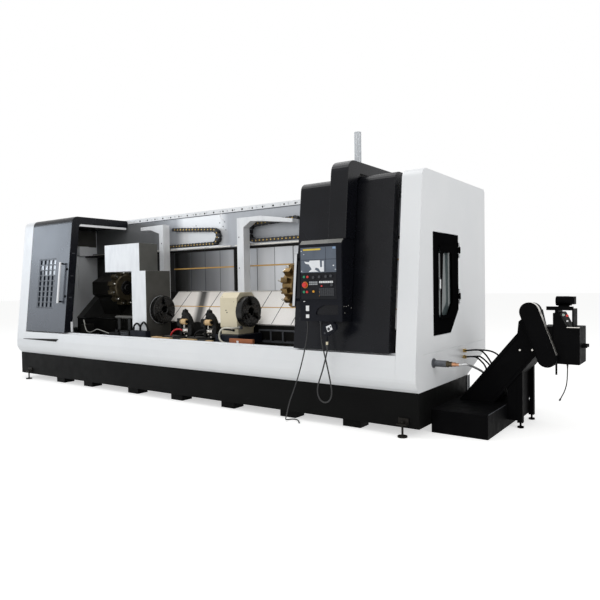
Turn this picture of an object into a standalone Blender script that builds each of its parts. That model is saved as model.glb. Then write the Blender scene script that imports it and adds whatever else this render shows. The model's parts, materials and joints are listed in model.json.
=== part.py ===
"""Twin-spindle slant-bed lathe with two sliding hoods, a hanging control box and a chip conveyor.

Metres, +Z up. The sizes below are in the machine's own frame: x runs from the left end of the
base, y from the front of the base towards the back, z from the floor. The empty "machine" puts
the middle of the whole footprint at the origin.
"""

import math

import bmesh
import bpy
from mathutils import Matrix, Vector

# Gap between touching pieces, gap of sliding and turning pieces, gap of a shaft in its bore
SEAT = 0.0003
RUNNING_GAP = 0.006
SHAFT_GAP = 0.0005

# Body
BODY_LENGTH = 6.72
BODY_DEPTH = 1.84
BODY_TOP = 2.44
BASE_BOTTOM = 0.08
BASE_TOP = 0.405
SHELL_BOTTOM = BASE_TOP + SEAT
FRONT_BULGE = 0.067
BULGE_HEIGHT = BASE_TOP + 0.121
LEAN_FOOT = (-0.0546, BASE_TOP + 0.3146)
LEAN = 0.1067
TOP_EDGE_RADIUS = 0.09
SILL_TOP = BASE_TOP + 0.33
SILL_BACK = 0.14
LEFT_END = 0.24
RIGHT_END = BODY_LENGTH - 0.20
INNER_WALL = LEFT_END + 0.21
SEAM = (0.004, 0.003)
PANEL_FRONT = 1.10
RAIL_DEPTH = 0.06
REAR_FRONT = PANEL_FRONT + RAIL_DEPTH
REAR_CHAMFER = (REAR_FRONT + 0.07, BASE_TOP + 0.215)

# Mounting blocks below the base
BLOCK_CENTRES = (0.99, 1.67, 2.66, 3.50, 4.35, 5.21, 5.99)
BLOCK_WIDTH = 0.20
BLOCK_DEPTH = 0.16
BLOCK_INSET = 0.05

# Free corner of the base behind the right end, beside the chip conveyor
REAR_NOTCH = (BODY_LENGTH - 0.24, 1.25)

# Levelling feet
FOOT_X = (0.255, BODY_LENGTH - 0.15)
REAR_RIGHT_FOOT_X = REAR_NOTCH[0] - 0.10
FOOT_DISC_RADIUS = 0.045
FOOT_DISC_HEIGHT = 0.014
FOOT_SCREW_RADIUS = 0.010
FOOT_BRACKET = (0.10, 0.06, 0.012)
FOOT_OUTSET = 0.03

# Hoods
HOOD_BOTTOM = SILL_TOP + 0.015
HOOD_WALL = 0.115
HOOD_ROOF = 0.105
HOOD_BACK = PANEL_FRONT - 0.015
HOOD_LENGTH = 1.034
RIGHT_HOOD_LENGTH = 1.075
LEFT_HOOD = (LEFT_END + RUNNING_GAP, LEFT_END + RUNNING_GAP + HOOD_LENGTH)
RIGHT_HOOD = (RIGHT_END - 0.07 - RIGHT_HOOD_LENGTH, RIGHT_END - 0.07)
HOOD_RAIL = (0.015, 0.035)
WINDOW = (LEFT_HOOD[0] + 0.254, LEFT_HOOD[0] + 0.709, 1.10, 1.835)
WINDOW_COLUMNS = 4
WINDOW_ROWS = 9
WINDOW_BAR = 0.022
GRILLE_DEPTH = 0.012
GLASS_DEPTH = 0.008
LEFT_HANDLE = (LEFT_HOOD[1] - 0.18, 1.17, 1.78)
RIGHT_HANDLE = (RIGHT_HOOD[0] + 0.035, 1.18, 1.71)
HANDLE_RADIUS = 0.014
HANDLE_REACH = 0.055
LIGHT_BAR = (0.03, 0.033)

# Rear wall
RAIL_RISE = 0.014
RAIL_THICKNESS = 0.07
RAIL_HEIGHT = (BODY_TOP + RAIL_RISE - RAIL_THICKNESS, BODY_TOP + RAIL_RISE)
RAIL_HOLES = ((1.45, 5.27), 0.13, 0.012)
LEDGE_TOP = 1.95
LEDGE_DEPTH = 0.13
LEDGE_THICKNESS = 0.035
COVER_TOP = LEDGE_TOP - LEDGE_THICKNESS - 0.03
COVER_HEIGHT = 0.565
COVER_BOTTOM = COVER_TOP - COVER_HEIGHT
COVER_STEP = 0.004
COVER_PLATES = 10
LEFT_COVER_END = 3.545
FRAME_WIDTH = 0.05
RIGHT_COVER_START = LEFT_COVER_END + 0.115

# Slanted bed and lower bed
SLOPE_TOP = (PANEL_FRONT, COVER_BOTTOM)
SLOPE_FOOT = (PANEL_FRONT - 0.41, COVER_BOTTOM - 0.405)
SLOPE_SKIN = 0.02
LOWER_BED = (SILL_BACK + 0.015, SLOPE_FOOT[0] - 0.01, SILL_TOP - 0.075)
RAIL_TOP = LOWER_BED[2] + 0.04
RAIL_WIDTH = 0.06
RAIL_Y = (0.29, 0.60)

# Spindles
SPINDLE_Y = 0.50
SPINDLE_Z = 1.08
CHUCK_RADIUS = 0.187
CHUCK_1_DEPTH = 0.075
CHUCK_2_DEPTH = 0.085
SPINDLE_RADIUS = 0.09
SPINDLE_LENGTH = 0.14
CHUCK_BORE = 0.045
HEADSTOCK_BACK = SLOPE_FOOT[0] - 0.02
HEADSTOCK_1 = (
    (2.43, SPINDLE_Y - 0.25, RAIL_TOP + SEAT),
    (2.72, HEADSTOCK_BACK, SPINDLE_Z + 0.53),
)
HEADSTOCK_1_COVER = (1.85, 2.60, HEADSTOCK_1[0][1], HEADSTOCK_1[0][1] + 0.31, 0.375)
HEADSTOCK_2 = (3.985, 4.255, SPINDLE_Y - 0.16, SPINDLE_Y + 0.18, SPINDLE_Z - 0.18, SPINDLE_Z + 0.23)
HEADSTOCK_2_CHAMFER = 0.065
SADDLE_2 = (
    (HEADSTOCK_2[0] + 0.005, HEADSTOCK_2[2] - 0.10, RAIL_TOP + SEAT),
    (HEADSTOCK_2[1] + 0.105, HEADSTOCK_BACK, RAIL_TOP + 0.11),
)

# Turrets
TURRET_Y = SPINDLE_Y + 0.22
TURRET_Z = SPINDLE_Z + 0.305
TURRET_RADIUS = 0.20
TURRET_STATIONS = 12
TOOL_REACH = TURRET_RADIUS + 0.062
TOOL_BLOCK = (0.09, 0.062)
TOOL_SHANK = (0.014, 0.028)
HUB_RADIUS = 0.085
DISC_DEPTH = 0.16
TURRET_1_DISC = 1.55
TURRET_2_DISC = 4.79
TURRET_BODY_LENGTH = 0.45
TURRET_BODY_RADIUS = 0.19
PIVOT_RADIUS = 0.06
PIVOT_LENGTH = 0.08

# Hanging brackets and energy chains
COLUMN_Y = (PANEL_FRONT - 0.23, PANEL_FRONT - 0.105)
COLUMN_1 = (2.28, 2.37)
COLUMN_2 = (3.80, 3.915)
COLUMN_1_TOP = BODY_TOP - 0.155
COLUMN_2_TOP = BODY_TOP - 0.185
ARM_1_END = COLUMN_1[0] - 0.41
ARM_2_END = COLUMN_2[1] + 0.795
ARM_THICKNESS = 0.05
CHAIN_Y = (PANEL_FRONT - 0.088, PANEL_FRONT - 0.012)
CHAIN_RADIUS = 0.125
CHAIN_HEIGHT = 0.055
CHAIN_1_BEND = 3.18
CHAIN_2_BEND = 3.99
CHAIN_1_RUNS = (COLUMN_1[1] + 0.01, COLUMN_1[0] + 0.02)
CHAIN_2_RUNS = (4.66, 5.30)
LINK_PITCH = 0.062
LINK_NOTCH = (0.006, 0.008)
LINK_PIN = (0.010, 0.004)

# Steady rests
STEADY_X = (3.06, 3.49)
STEADY_Y = (SPINDLE_Y - 0.25, SPINDLE_Y - 0.05)
STEADY_ARM = (0.195, 0.14)

# Control box and its arm
BOX_FRONT = -0.20
BOX_X = (RIGHT_HOOD[0] + 0.235, RIGHT_HOOD[0] + 0.665)
BOX_Z = (1.04, 1.82)
BOX_CLEARANCE = 0.008
ARM_X = (BOX_X[1] - 0.18, BOX_X[1] + 0.015)
ARM_DEPTH = 0.19
ARM_UNDER = RAIL_HEIGHT[1] + BOX_CLEARANCE
ARM_THICKNESS_UP = 0.115
ARM_TOP = ARM_UNDER + ARM_THICKNESS_UP
ARM_RADIUS = 0.12
ARM_CORNER = (0.17, 0.062)
SCREEN = (BOX_X[0] + 0.024, BOX_X[1] - 0.035, BOX_Z[1] - 0.32, BOX_Z[1] - 0.08)
KEY_PANEL = (SCREEN[0], SCREEN[1], BOX_Z[0] + 0.222, SCREEN[2] - 0.01)
TOWER = (BOX_X[1] - 0.085, 0.30, 0.33, 0.035)
HANDWHEEL = (BOX_X[1] - 0.18, BOX_X[1] - 0.06, BOX_Z[0] - 0.22, BOX_Z[0] - 0.09)
HANDWHEEL_REACH = 0.045

# Right end door
DOOR_FRONT = 0.349
DOOR_REAR = 0.987
DOOR_BOTTOM = 0.896
DOOR_TOP = 1.868
DOOR_CHAMFER = (0.773, 1.117)
DOOR_DEPTH = 0.03
END_WINDOW = (0.47, 0.80, 1.06, 1.74)
END_WINDOW_CHAMFER = 0.12
DOOR_PROUD = 0.004
HINGE_RADIUS = 0.011
HINGE_PIN_RADIUS = 0.005
HINGE_LEAF = 0.035
HINGE_HEIGHTS = (1.25, 1.72)
HINGE_HALF = 0.03
HINGE_EAR = 0.04
END_HANDLE = (0.445, 1.30, 1.45)

# Chip conveyor
CONVEYOR_Y = (0.84, 1.32)
TANK = ((BODY_LENGTH + 0.0005, 0.274, 0.0), (BODY_LENGTH + 0.526, CONVEYOR_Y[1], 0.215))
INCLINE_FOOT = (BODY_LENGTH + 0.08, TANK[1][2] + 0.025)
INCLINE_TOP = (BODY_LENGTH + 0.626, 0.903)
INCLINE_DEPTH = 0.26
HEAD_CORNER = (INCLINE_TOP[0] + 0.012, INCLINE_TOP[1] + 0.112)
GUARD_TOP = (INCLINE_TOP[0] + 0.12, INCLINE_TOP[1] + 0.207)
GUARD_FOOT = (GUARD_TOP[0] + 0.154, GUARD_TOP[1] - 0.42)
GUARD_RADIUS = 0.087
GUARD_DEPTH = 0.07
LEG_X = (INCLINE_TOP[0] - 0.008, INCLINE_TOP[0] + 0.042)
CABINET = (GUARD_FOOT[0] + 0.04, GUARD_FOOT[0] + 0.264, CONVEYOR_Y[0] + 0.0005, 1.15, GUARD_FOOT[1] - 0.054)
CABINET_LEDGE = (GUARD_FOOT[0] + 0.158, GUARD_FOOT[1] + 0.282)
CABINET_CREST = (GUARD_FOOT[0] + 0.094, GUARD_FOOT[1] + 0.411)
CABINET_GLANDS = ((0.93, 0.80), (1.02, 0.80))
GLAND_END = GUARD_FOOT[0] + 0.31
SHELF_Z = CABINET_CREST[1] + 0.023
DRUM_END = 0.93
LEG_FOOT = (0.030, 0.05)
LINER_BOTTOM = 0.07

FOOTPRINT_X = (0.0, GLAND_END)
FOOTPRINT_Y = (BOX_FRONT - HANDWHEEL_REACH, BODY_DEPTH + FOOT_OUTSET + FOOT_DISC_RADIUS)


def clear_scene():
    for thing in list(bpy.data.objects):
        bpy.data.objects.remove(thing, do_unlink=True)


def new_collection(name):
    collection = bpy.data.collections.new(name)
    bpy.context.scene.collection.children.link(collection)
    return collection


clear_scene()
PARTS = new_collection("twin_spindle_lathe")
CUTTERS = new_collection("cutters")


def empty(name, place, parent=None):
    pivot = bpy.data.objects.new(name, None)
    pivot.location = place
    PARTS.objects.link(pivot)
    if parent:
        pivot.parent = parent
    return pivot


MACHINE = empty("machine", (-sum(FOOTPRINT_X) / 2, -sum(FOOTPRINT_Y) / 2, 0.0))


def material(name, colour, roughness, metallic=0.0):
    made = bpy.data.materials.new(name)
    made.use_nodes = True
    shader = made.node_tree.nodes["Principled BSDF"]
    shader.inputs["Base Color"].default_value = (*colour, 1.0)
    shader.inputs["Roughness"].default_value = roughness
    shader.inputs["Metallic"].default_value = metallic
    made.diffuse_color = (*colour, 1.0)
    return made


def finished(name, mesh, look, pivot=None):
    """Makes the named object of a mesh in machine coordinates, with its origin on its pivot."""
    made = bpy.data.objects.new(name, mesh)
    mesh.materials.append(look)
    PARTS.objects.link(made)
    made.parent = pivot or MACHINE
    if pivot:
        mesh.transform(Matrix.Translation(-pivot.location))
    return made


def mesh_of(shape, name):
    mesh = bpy.data.meshes.new(name)
    bmesh.ops.recalc_face_normals(shape, faces=shape.faces)
    shape.to_mesh(mesh)
    shape.free()
    return mesh


def block_mesh(low, high, name="block"):
    shape = bmesh.new()
    bmesh.ops.create_cube(shape, size=1.0)
    size = Vector(high) - Vector(low)
    middle = (Vector(high) + Vector(low)) / 2
    stretch = Matrix.Translation(middle) @ Matrix.Diagonal((*size, 1.0))
    bmesh.ops.transform(shape, verts=shape.verts, matrix=stretch)
    return mesh_of(shape, name)


AXES = {
    "x": Matrix(((0, 0, 1, 0), (1, 0, 0, 0), (0, 1, 0, 0), (0, 0, 0, 1))),
    "y": Matrix(((1, 0, 0, 0), (0, 0, -1, 0), (0, 1, 0, 0), (0, 0, 0, 1))),
    "z": Matrix.Identity(4),
}


def extruded_mesh(outlines, axis, start, end, name="extrusion"):
    """Extrudes flat outlines along an axis: (y, z) points for x, (x, z) for y and (x, y) for z."""
    curve = bpy.data.curves.new(name, "CURVE")
    curve.dimensions = "2D"
    curve.fill_mode = "BOTH"
    curve.extrude = (end - start) / 2
    for outline in outlines:
        spline = curve.splines.new("POLY")
        spline.points.add(len(outline) - 1)
        for point, (u, v) in zip(spline.points, outline):
            point.co = (u, v, 0.0, 1.0)
        spline.use_cyclic_u = True
    holder = bpy.data.objects.new(name, curve)
    CUTTERS.objects.link(holder)
    bpy.context.view_layer.update()
    graph = bpy.context.evaluated_depsgraph_get()
    mesh = bpy.data.meshes.new_from_object(holder.evaluated_get(graph))
    bpy.data.objects.remove(holder, do_unlink=True)
    shape = bmesh.new()
    shape.from_mesh(mesh)
    bmesh.ops.remove_doubles(shape, verts=shape.verts, dist=0.00005)
    middle = (start + end) / 2
    sign = -1.0 if axis == "y" else 1.0
    shift = Matrix.Translation((0.0, 0.0, sign * middle))
    bmesh.ops.transform(shape, verts=shape.verts, matrix=AXES[axis] @ shift)
    return mesh_of(shape, name)


def rod_mesh(axis, centre, radius, start, end, sides=32, name="rod", end_radius=None):
    """A round rod along an axis; centre holds its two other coordinates, in extruded_mesh's order."""
    shape = bmesh.new()
    bmesh.ops.create_cone(
        shape,
        cap_ends=True,
        segments=sides,
        radius1=radius,
        radius2=radius if end_radius is None else end_radius,
        depth=end - start,
    )
    sign = -1.0 if axis == "y" else 1.0
    shift = Matrix.Translation((centre[0], centre[1], sign * (start + end) / 2))
    bmesh.ops.transform(shape, verts=shape.verts, matrix=AXES[axis] @ shift)
    return mesh_of(shape, name)


def helper(name, mesh, pivot=None):
    """A shape that only cuts or joins another one."""
    made = bpy.data.objects.new(name, mesh)
    CUTTERS.objects.link(made)
    made.parent = pivot or MACHINE
    if pivot:
        mesh.transform(Matrix.Translation(-pivot.location))
    made.hide_render = True
    made.display_type = "WIRE"
    return made


def boolean(target, mesh, operation, pivot=None):
    other = helper(f"{target.name}_{operation.lower()}_{len(target.modifiers)}", mesh, pivot)
    step = target.modifiers.new(operation.title(), "BOOLEAN")
    step.operation = operation
    step.solver = "EXACT"
    step.object = other


def join(target, *meshes, pivot=None):
    for mesh in meshes:
        boolean(target, mesh, "UNION", pivot)


def cut(target, *meshes, pivot=None):
    for mesh in meshes:
        boolean(target, mesh, "DIFFERENCE", pivot)


def bevel(target, width, segments=2, angle=40.0):
    step = target.modifiers.new("Bevel", "BEVEL")
    step.width = width
    step.segments = segments
    step.limit_method = "ANGLE"
    step.angle_limit = math.radians(angle)
    step.use_clamp_overlap = True


def smooth(target, angle=35.0):
    target.data.shade_smooth()
    target.data.set_sharp_from_angle(angle=math.radians(angle))


def tube(name, points, radius, look, pivot=None, resolution=2):
    curve = bpy.data.curves.new(name, "CURVE")
    curve.dimensions = "3D"
    curve.bevel_depth = radius
    curve.bevel_resolution = resolution
    curve.use_fill_caps = True
    spline = curve.splines.new("POLY")
    spline.points.add(len(points) - 1)
    for point, place in zip(spline.points, points):
        point.co = (*place, 1.0)
    curve.materials.append(look)
    made = bpy.data.objects.new(name, curve)
    PARTS.objects.link(made)
    made.parent = pivot or MACHINE
    if pivot:
        curve.transform(Matrix.Translation(-pivot.location))
    return made


def smooth_route(points, count):
    """Places spaced evenly along a Catmull-Rom curve through the route's own points."""
    ends = [points[0] * 2 - points[1], *points, points[-1] * 2 - points[-2]]
    fine = []
    for before, start, end, after in zip(ends, ends[1:], ends[2:], ends[3:]):
        for step in range(20):
            t = step / 20
            fine.append(
                0.5
                * (
                    2 * start
                    + (end - before) * t
                    + (2 * before - 5 * start + 4 * end - after) * t**2
                    + (3 * start - before - 3 * end + after) * t**3
                )
            )
    fine.append(points[-1])
    lengths = [0.0]
    for first, second in zip(fine, fine[1:]):
        lengths.append(lengths[-1] + (second - first).length)
    places = []
    at = 0
    for step in range(count):
        wanted = lengths[-1] * step / (count - 1)
        while at < len(lengths) - 2 and lengths[at + 1] < wanted:
            at += 1
        share = (wanted - lengths[at]) / (lengths[at + 1] - lengths[at])
        places.append(fine[at].lerp(fine[at + 1], min(share, 1.0)))
    return places


def arc(centre, radius, start, end, steps):
    """Points on an arc, with the angles in degrees."""
    points = []
    for step in range(steps + 1):
        angle = math.radians(start + (end - start) * step / steps)
        points.append((centre[0] + radius * math.cos(angle), centre[1] + radius * math.sin(angle)))
    return points


def obround(first, second, radius, steps=10):
    """The outline round two points."""
    slope = math.degrees(math.atan2(second[1] - first[1], second[0] - first[0]))
    far_end = arc(second, radius, slope - 90, slope + 90, steps)
    return far_end + arc(first, radius, slope + 90, slope + 270, steps)


def lean_y(z):
    """The y of the leaning front plane at a height."""
    return LEAN_FOOT[0] + LEAN * (z - LEAN_FOOT[1])


def front_outline(bottom, top_radius, inset=0.0):
    """Front of the body from a height up to the rounded top edge, as (y, z) points."""
    lean_angle = math.degrees(math.atan(LEAN))
    top = BODY_TOP - inset
    centre_z = top - top_radius
    side_z = centre_z + top_radius * math.sin(math.radians(lean_angle))
    thickness = inset * math.sqrt(1 + LEAN**2)
    side_y = lean_y(side_z) + thickness
    centre = (side_y + top_radius * math.cos(math.radians(lean_angle)), centre_z)
    points = [(lean_y(bottom) + thickness, bottom)]
    points += arc(centre, top_radius, 180 - lean_angle, 90, 6)
    return points


def sill_outline(bottom):
    """Rounded belly of the apron below the leaning plane, as (y, z) points from the bottom up."""
    return [
        (0.0, bottom),
        (-0.030, bottom + 0.030),
        (-0.050, bottom + 0.062),
        (-0.0625, bottom + 0.092),
        (-FRONT_BULGE, BULGE_HEIGHT),
        (-0.0645, BULGE_HEIGHT + 0.09),
    ]


WHITE = material("white_paint", (0.80, 0.81, 0.82), 0.35)
BLACK = material("black_paint", (0.022, 0.024, 0.030), 0.40)
BASE_BLACK = material("base_black_paint", (0.020, 0.020, 0.022), 0.50)
STEEL = material("brushed_steel", (0.50, 0.51, 0.52), 0.35, 1.0)
BRIGHT = material("bright_steel", (0.70, 0.70, 0.70), 0.25, 1.0)
GREY = material("grey_paint", (0.33, 0.34, 0.35), 0.45)
CREAM = material("cream_paint", (0.62, 0.57, 0.46), 0.45)
COVER = material("cream_cover", (0.60, 0.57, 0.52), 0.45, 0.3)
IRON = material("dark_iron", (0.035, 0.035, 0.037), 0.55, 0.3)
BRONZE = material("turret_bronze", (0.28, 0.21, 0.14), 0.40, 0.7)
GLASS = material("window_glass", (0.55, 0.60, 0.62), 0.10)
SCREEN_GREY = material("screen", (0.32, 0.37, 0.45), 0.20)
PLASTIC = material("black_plastic", (0.02, 0.02, 0.02), 0.45)
RUBBER = material("black_rubber", (0.015, 0.015, 0.015), 0.70)
CLEAR = material("clear_plastic", (0.80, 0.82, 0.84), 0.15)
CHROME = material("chrome", (0.75, 0.75, 0.75), 0.12, 1.0)


def base():
    tub = block_mesh((0, 0, BASE_BOTTOM), (BODY_LENGTH, BODY_DEPTH, BASE_TOP))
    tray = finished("base_tray", tub, BASE_BLACK)
    overlap = 0.02
    for centre in BLOCK_CENTRES:
        for low in (BLOCK_INSET, BODY_DEPTH - BLOCK_INSET - BLOCK_DEPTH):
            join(
                tray,
                block_mesh(
                    (centre - BLOCK_WIDTH / 2, low, 0.0),
                    (centre + BLOCK_WIDTH / 2, low + BLOCK_DEPTH, BASE_BOTTOM + overlap),
                ),
            )
    notch_x, notch_y = REAR_NOTCH
    notch = block_mesh(
        (notch_x, notch_y, BASE_BOTTOM - 0.02),
        (BODY_LENGTH + 0.02, BODY_DEPTH + 0.02, BASE_TOP + 0.02),
    )
    cut(tray, notch)


def levelling_foot(name, x, front):
    """Disc, screw and the angle bracket that holds it on the base."""
    side = -1.0 if front else 1.0
    wall = 0.0 if front else BODY_DEPTH
    y = wall + side * FOOT_OUTSET
    width, height, plate = FOOT_BRACKET
    bracket_z = BASE_BOTTOM + 0.03
    foot = finished(name, rod_mesh("z", (x, y), FOOT_DISC_RADIUS, 0.0, FOOT_DISC_HEIGHT), STEEL)
    near = wall + side * SEAT
    far = wall + side * (FOOT_OUTSET + 0.025)
    back = wall + side * plate
    join(
        foot,
        rod_mesh("z", (x, y), FOOT_SCREW_RADIUS, FOOT_DISC_HEIGHT / 2, bracket_z + 0.04, 16),
        block_mesh(
            (x - width / 2, min(near, far), bracket_z),
            (x + width / 2, max(near, far), bracket_z + plate),
        ),
        block_mesh(
            (x - width / 2, min(near, back), bracket_z),
            (x + width / 2, max(near, back), bracket_z + height),
        ),
    )


def apron():
    rail_top = HOOD_BOTTOM - SEAT
    outline = sill_outline(SHELL_BOTTOM)
    outline += [(lean_y(SILL_TOP), SILL_TOP), (SILL_BACK, SILL_TOP), (SILL_BACK, SHELL_BOTTOM)]
    beam = finished("front_apron", extruded_mesh([outline], "x", LEFT_END + SEAT, RIGHT_END - SEAT), WHITE)
    rail = block_mesh(
        (LEFT_END + 0.01, HOOD_RAIL[0], SILL_TOP - 0.02),
        (RIGHT_END - 0.01, HOOD_RAIL[1], rail_top),
    )
    join(beam, rail)
    smooth(beam)


def end_outline():
    front = sill_outline(SHELL_BOTTOM) + front_outline(LEAN_FOOT[1], TOP_EDGE_RADIUS)
    back_y, back_z = REAR_CHAMFER
    return front + [
        (BODY_DEPTH - 0.03, BODY_TOP),
        (BODY_DEPTH, BODY_TOP - 0.03),
        (BODY_DEPTH, back_z),
        (back_y, SHELL_BOTTOM),
    ]


def hinge_axis():
    """The x and y of the upright hinge pins beside the end door."""
    x = BODY_LENGTH + DOOR_PROUD + HINGE_RADIUS + 0.001
    return x, DOOR_REAR + RUNNING_GAP / 2


def end_panels():
    left = finished("left_end_panel", extruded_mesh([end_outline()], "x", 0.0, LEFT_END), WHITE)
    join(
        left,
        block_mesh(
            (LEFT_END - 0.02, 0.24, SILL_TOP + 0.02),
            (INNER_WALL, PANEL_FRONT - 0.004, BODY_TOP - HOOD_ROOF - 0.04),
        ),
    )
    smooth(left)
    right = finished("right_enclosure", extruded_mesh([end_outline()], "x", RIGHT_END, BODY_LENGTH), WHITE)
    gap = RUNNING_GAP
    doorway = [
        (DOOR_FRONT - gap, DOOR_BOTTOM - gap),
        (DOOR_CHAMFER[0] + gap / 2, DOOR_BOTTOM - gap),
        (DOOR_REAR + gap, DOOR_CHAMFER[1] - gap / 2),
        (DOOR_REAR + gap, DOOR_TOP + gap),
        (DOOR_FRONT - gap, DOOR_TOP + gap),
    ]
    cut(right, extruded_mesh([doorway], "x", RIGHT_END - 0.05, BODY_LENGTH + 0.05))
    seam = (BODY_LENGTH - SEAM[0], 0.10, SILL_TOP - SEAM[1])
    cut(right, block_mesh(seam, (BODY_LENGTH + 0.02, BODY_DEPTH + 0.02, SILL_TOP + SEAM[1])))
    axis_x, axis_y = hinge_axis()
    for z in HINGE_HEIGHTS:
        for side in (-1, 1):
            near = z + side * (HINGE_HALF + RUNNING_GAP)
            low, high = sorted((near, near + side * HINGE_EAR))
            join(
                right,
                block_mesh((BODY_LENGTH - 0.005, axis_y + 0.002, low), (axis_x, axis_y + HINGE_LEAF, high)),
                rod_mesh("z", (axis_x, axis_y), HINGE_RADIUS, low, high, 20),
            )
        reach = HINGE_HALF + RUNNING_GAP + HINGE_EAR + 0.01
        pin_hole = HINGE_PIN_RADIUS + SHAFT_GAP
        cut(right, rod_mesh("z", (axis_x, axis_y), pin_hole, z - reach, z + reach, 20))
    smooth(right)


def rear_wall():
    left, right = LEFT_END + SEAT, RIGHT_END - SEAT
    back_y, back_z = REAR_CHAMFER
    outline = [
        (REAR_FRONT, SHELL_BOTTOM),
        (back_y, SHELL_BOTTOM),
        (BODY_DEPTH, back_z),
        (BODY_DEPTH, BODY_TOP - 0.03),
        (BODY_DEPTH - 0.03, BODY_TOP),
        (REAR_FRONT, BODY_TOP),
    ]
    finished("rear_housing", extruded_mesh([outline], "x", left, right), WHITE)
    face = REAR_FRONT - SEAT
    shelf = PANEL_FRONT - LEDGE_DEPTH + 0.05
    panel_outline = [
        (face, LEDGE_TOP - LEDGE_THICKNESS),
        (face, RAIL_HEIGHT[0] - SEAT),
        (PANEL_FRONT, RAIL_HEIGHT[0] - SEAT),
        (PANEL_FRONT, LEDGE_TOP),
        (shelf, LEDGE_TOP),
        (shelf, LEDGE_TOP - LEDGE_THICKNESS),
    ]
    finished("upper_panel", extruded_mesh([panel_outline], "x", INNER_WALL + SEAT, right), WHITE)
    front = face - RAIL_DEPTH
    rail = finished(
        "top_rail",
        block_mesh((left, front, RAIL_HEIGHT[0]), (right, face, RAIL_HEIGHT[1])),
        WHITE,
    )
    holes = []
    middle = sum(RAIL_HEIGHT) / 2
    start, end = RAIL_HOLES[0]
    count = round((end - start) / RAIL_HOLES[1])
    for index in range(count + 1):
        place = (start + (end - start) * index / count, middle)
        holes.append(rod_mesh("y", place, RAIL_HOLES[2], front - 0.01, front + 0.012, 8))
    cut(rail, merged(holes))


def stepped_cover(name, start, end, plates):
    """Telescopic cover plates, each a step in front of the one beside it, in an (x, y) outline."""
    face = REAR_FRONT - SEAT
    pitch = (end - start) / plates
    outline = [(start, face)]
    for index in range(plates):
        y = PANEL_FRONT + COVER_STEP * (index % 5)
        outline += [(start + pitch * index, y), (start + pitch * (index + 1), y)]
    outline.append((end, face))
    finished(name, extruded_mesh([outline], "z", COVER_BOTTOM, COVER_TOP), STEEL)


def way_covers():
    stepped_cover("way_cover_left", INNER_WALL + SEAT, LEFT_COVER_END, COVER_PLATES)
    stepped_cover("way_cover_right", RIGHT_COVER_START, RIGHT_END - SEAT, COVER_PLATES)
    frame = finished(
        "cover_frame",
        block_mesh(
            (INNER_WALL + SEAT, PANEL_FRONT - 0.012, COVER_TOP + SEAT),
            (RIGHT_END - SEAT, REAR_FRONT - SEAT, LEDGE_TOP - LEDGE_THICKNESS - SEAT),
        ),
        IRON,
    )
    middle = (LEFT_COVER_END + RIGHT_COVER_START) / 2
    join(
        frame,
        block_mesh(
            (middle - FRAME_WIDTH, PANEL_FRONT - 0.012, COVER_BOTTOM),
            (middle + FRAME_WIDTH, REAR_FRONT - SEAT, COVER_TOP + 0.01),
        ),
    )


def slope_point(share, lift=0.0):
    """A point on the slanted bed, from its foot at 0 to its top at 1, lifted square to it."""
    foot, top = Vector(SLOPE_FOOT), Vector(SLOPE_TOP)
    along = top - foot
    normal = Vector((-along.y, along.x)).normalized()
    return foot + along * share + normal * lift


def beds():
    left, right = INNER_WALL + SEAT, RIGHT_END - SEAT
    top = slope_point(1.0, -SLOPE_SKIN - SEAT)
    foot = slope_point(0.0, -SLOPE_SKIN - SEAT)
    rear = REAR_FRONT - SEAT
    bed_outline = [
        (rear, SHELL_BOTTOM),
        (rear, COVER_BOTTOM - SEAT - 0.002),
        (top.x + 0.02, COVER_BOTTOM - SEAT - 0.002),
        tuple(top),
        tuple(foot),
        (foot.x, SHELL_BOTTOM),
    ]
    finished("slant_bed", extruded_mesh([bed_outline], "x", left, right), IRON)
    skin = [
        tuple(slope_point(0.0, -SLOPE_SKIN)),
        tuple(slope_point(1.0, -SLOPE_SKIN)),
        tuple(slope_point(1.0)),
        tuple(slope_point(0.0)),
    ]
    finished("slant_cover", extruded_mesh([skin], "x", left, right), COVER)
    front, back, height = LOWER_BED
    lower = finished(
        "lower_bed",
        block_mesh((left, front, SHELL_BOTTOM), (right, back, height)),
        IRON,
    )
    for y in RAIL_Y:
        join(lower, block_mesh((left + 0.4, y, height - 0.02), (right - 0.4, y + RAIL_WIDTH, RAIL_TOP)))


def hood(name, span, pivot):
    outer = front_outline(HOOD_BOTTOM, TOP_EDGE_RADIUS)
    inner = front_outline(HOOD_BOTTOM, 0.05, HOOD_WALL)
    roof_under = BODY_TOP - HOOD_ROOF
    drop = roof_under - (BODY_TOP - HOOD_WALL)
    inner = [(y, z + drop if z > HOOD_BOTTOM else z) for y, z in inner]
    outline = outer + [(HOOD_BACK, BODY_TOP), (HOOD_BACK, roof_under)] + inner[::-1]
    return finished(name, extruded_mesh([outline], "x", *span), BLACK, pivot)


def lean_block(x0, x1, z0, z1, front, back):
    """A block that leans with the front plane, from one distance behind it to another."""
    outline = [
        (lean_y(z0) + front, z0),
        (lean_y(z0) + back, z0),
        (lean_y(z1) + back, z1),
        (lean_y(z1) + front, z1),
    ]
    return extruded_mesh([outline], "x", x0, x1)


def handle(name, x, low, high, pivot, look):
    """An upright bar on two stand-offs in front of the leaning plane."""
    foot_low = low + 0.06
    foot_high = high - 0.06
    reach = HANDLE_REACH
    bar = finished(
        name,
        lean_block(x - HANDLE_RADIUS, x + HANDLE_RADIUS, low, high, -reach - 2 * HANDLE_RADIUS, -reach),
        look,
        pivot,
    )
    for z in (foot_low, foot_high):
        join(
            bar,
            lean_block(x - 0.010, x + 0.010, z - 0.015, z + 0.015, -reach - HANDLE_RADIUS, -SEAT),
            pivot=pivot,
        )


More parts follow.
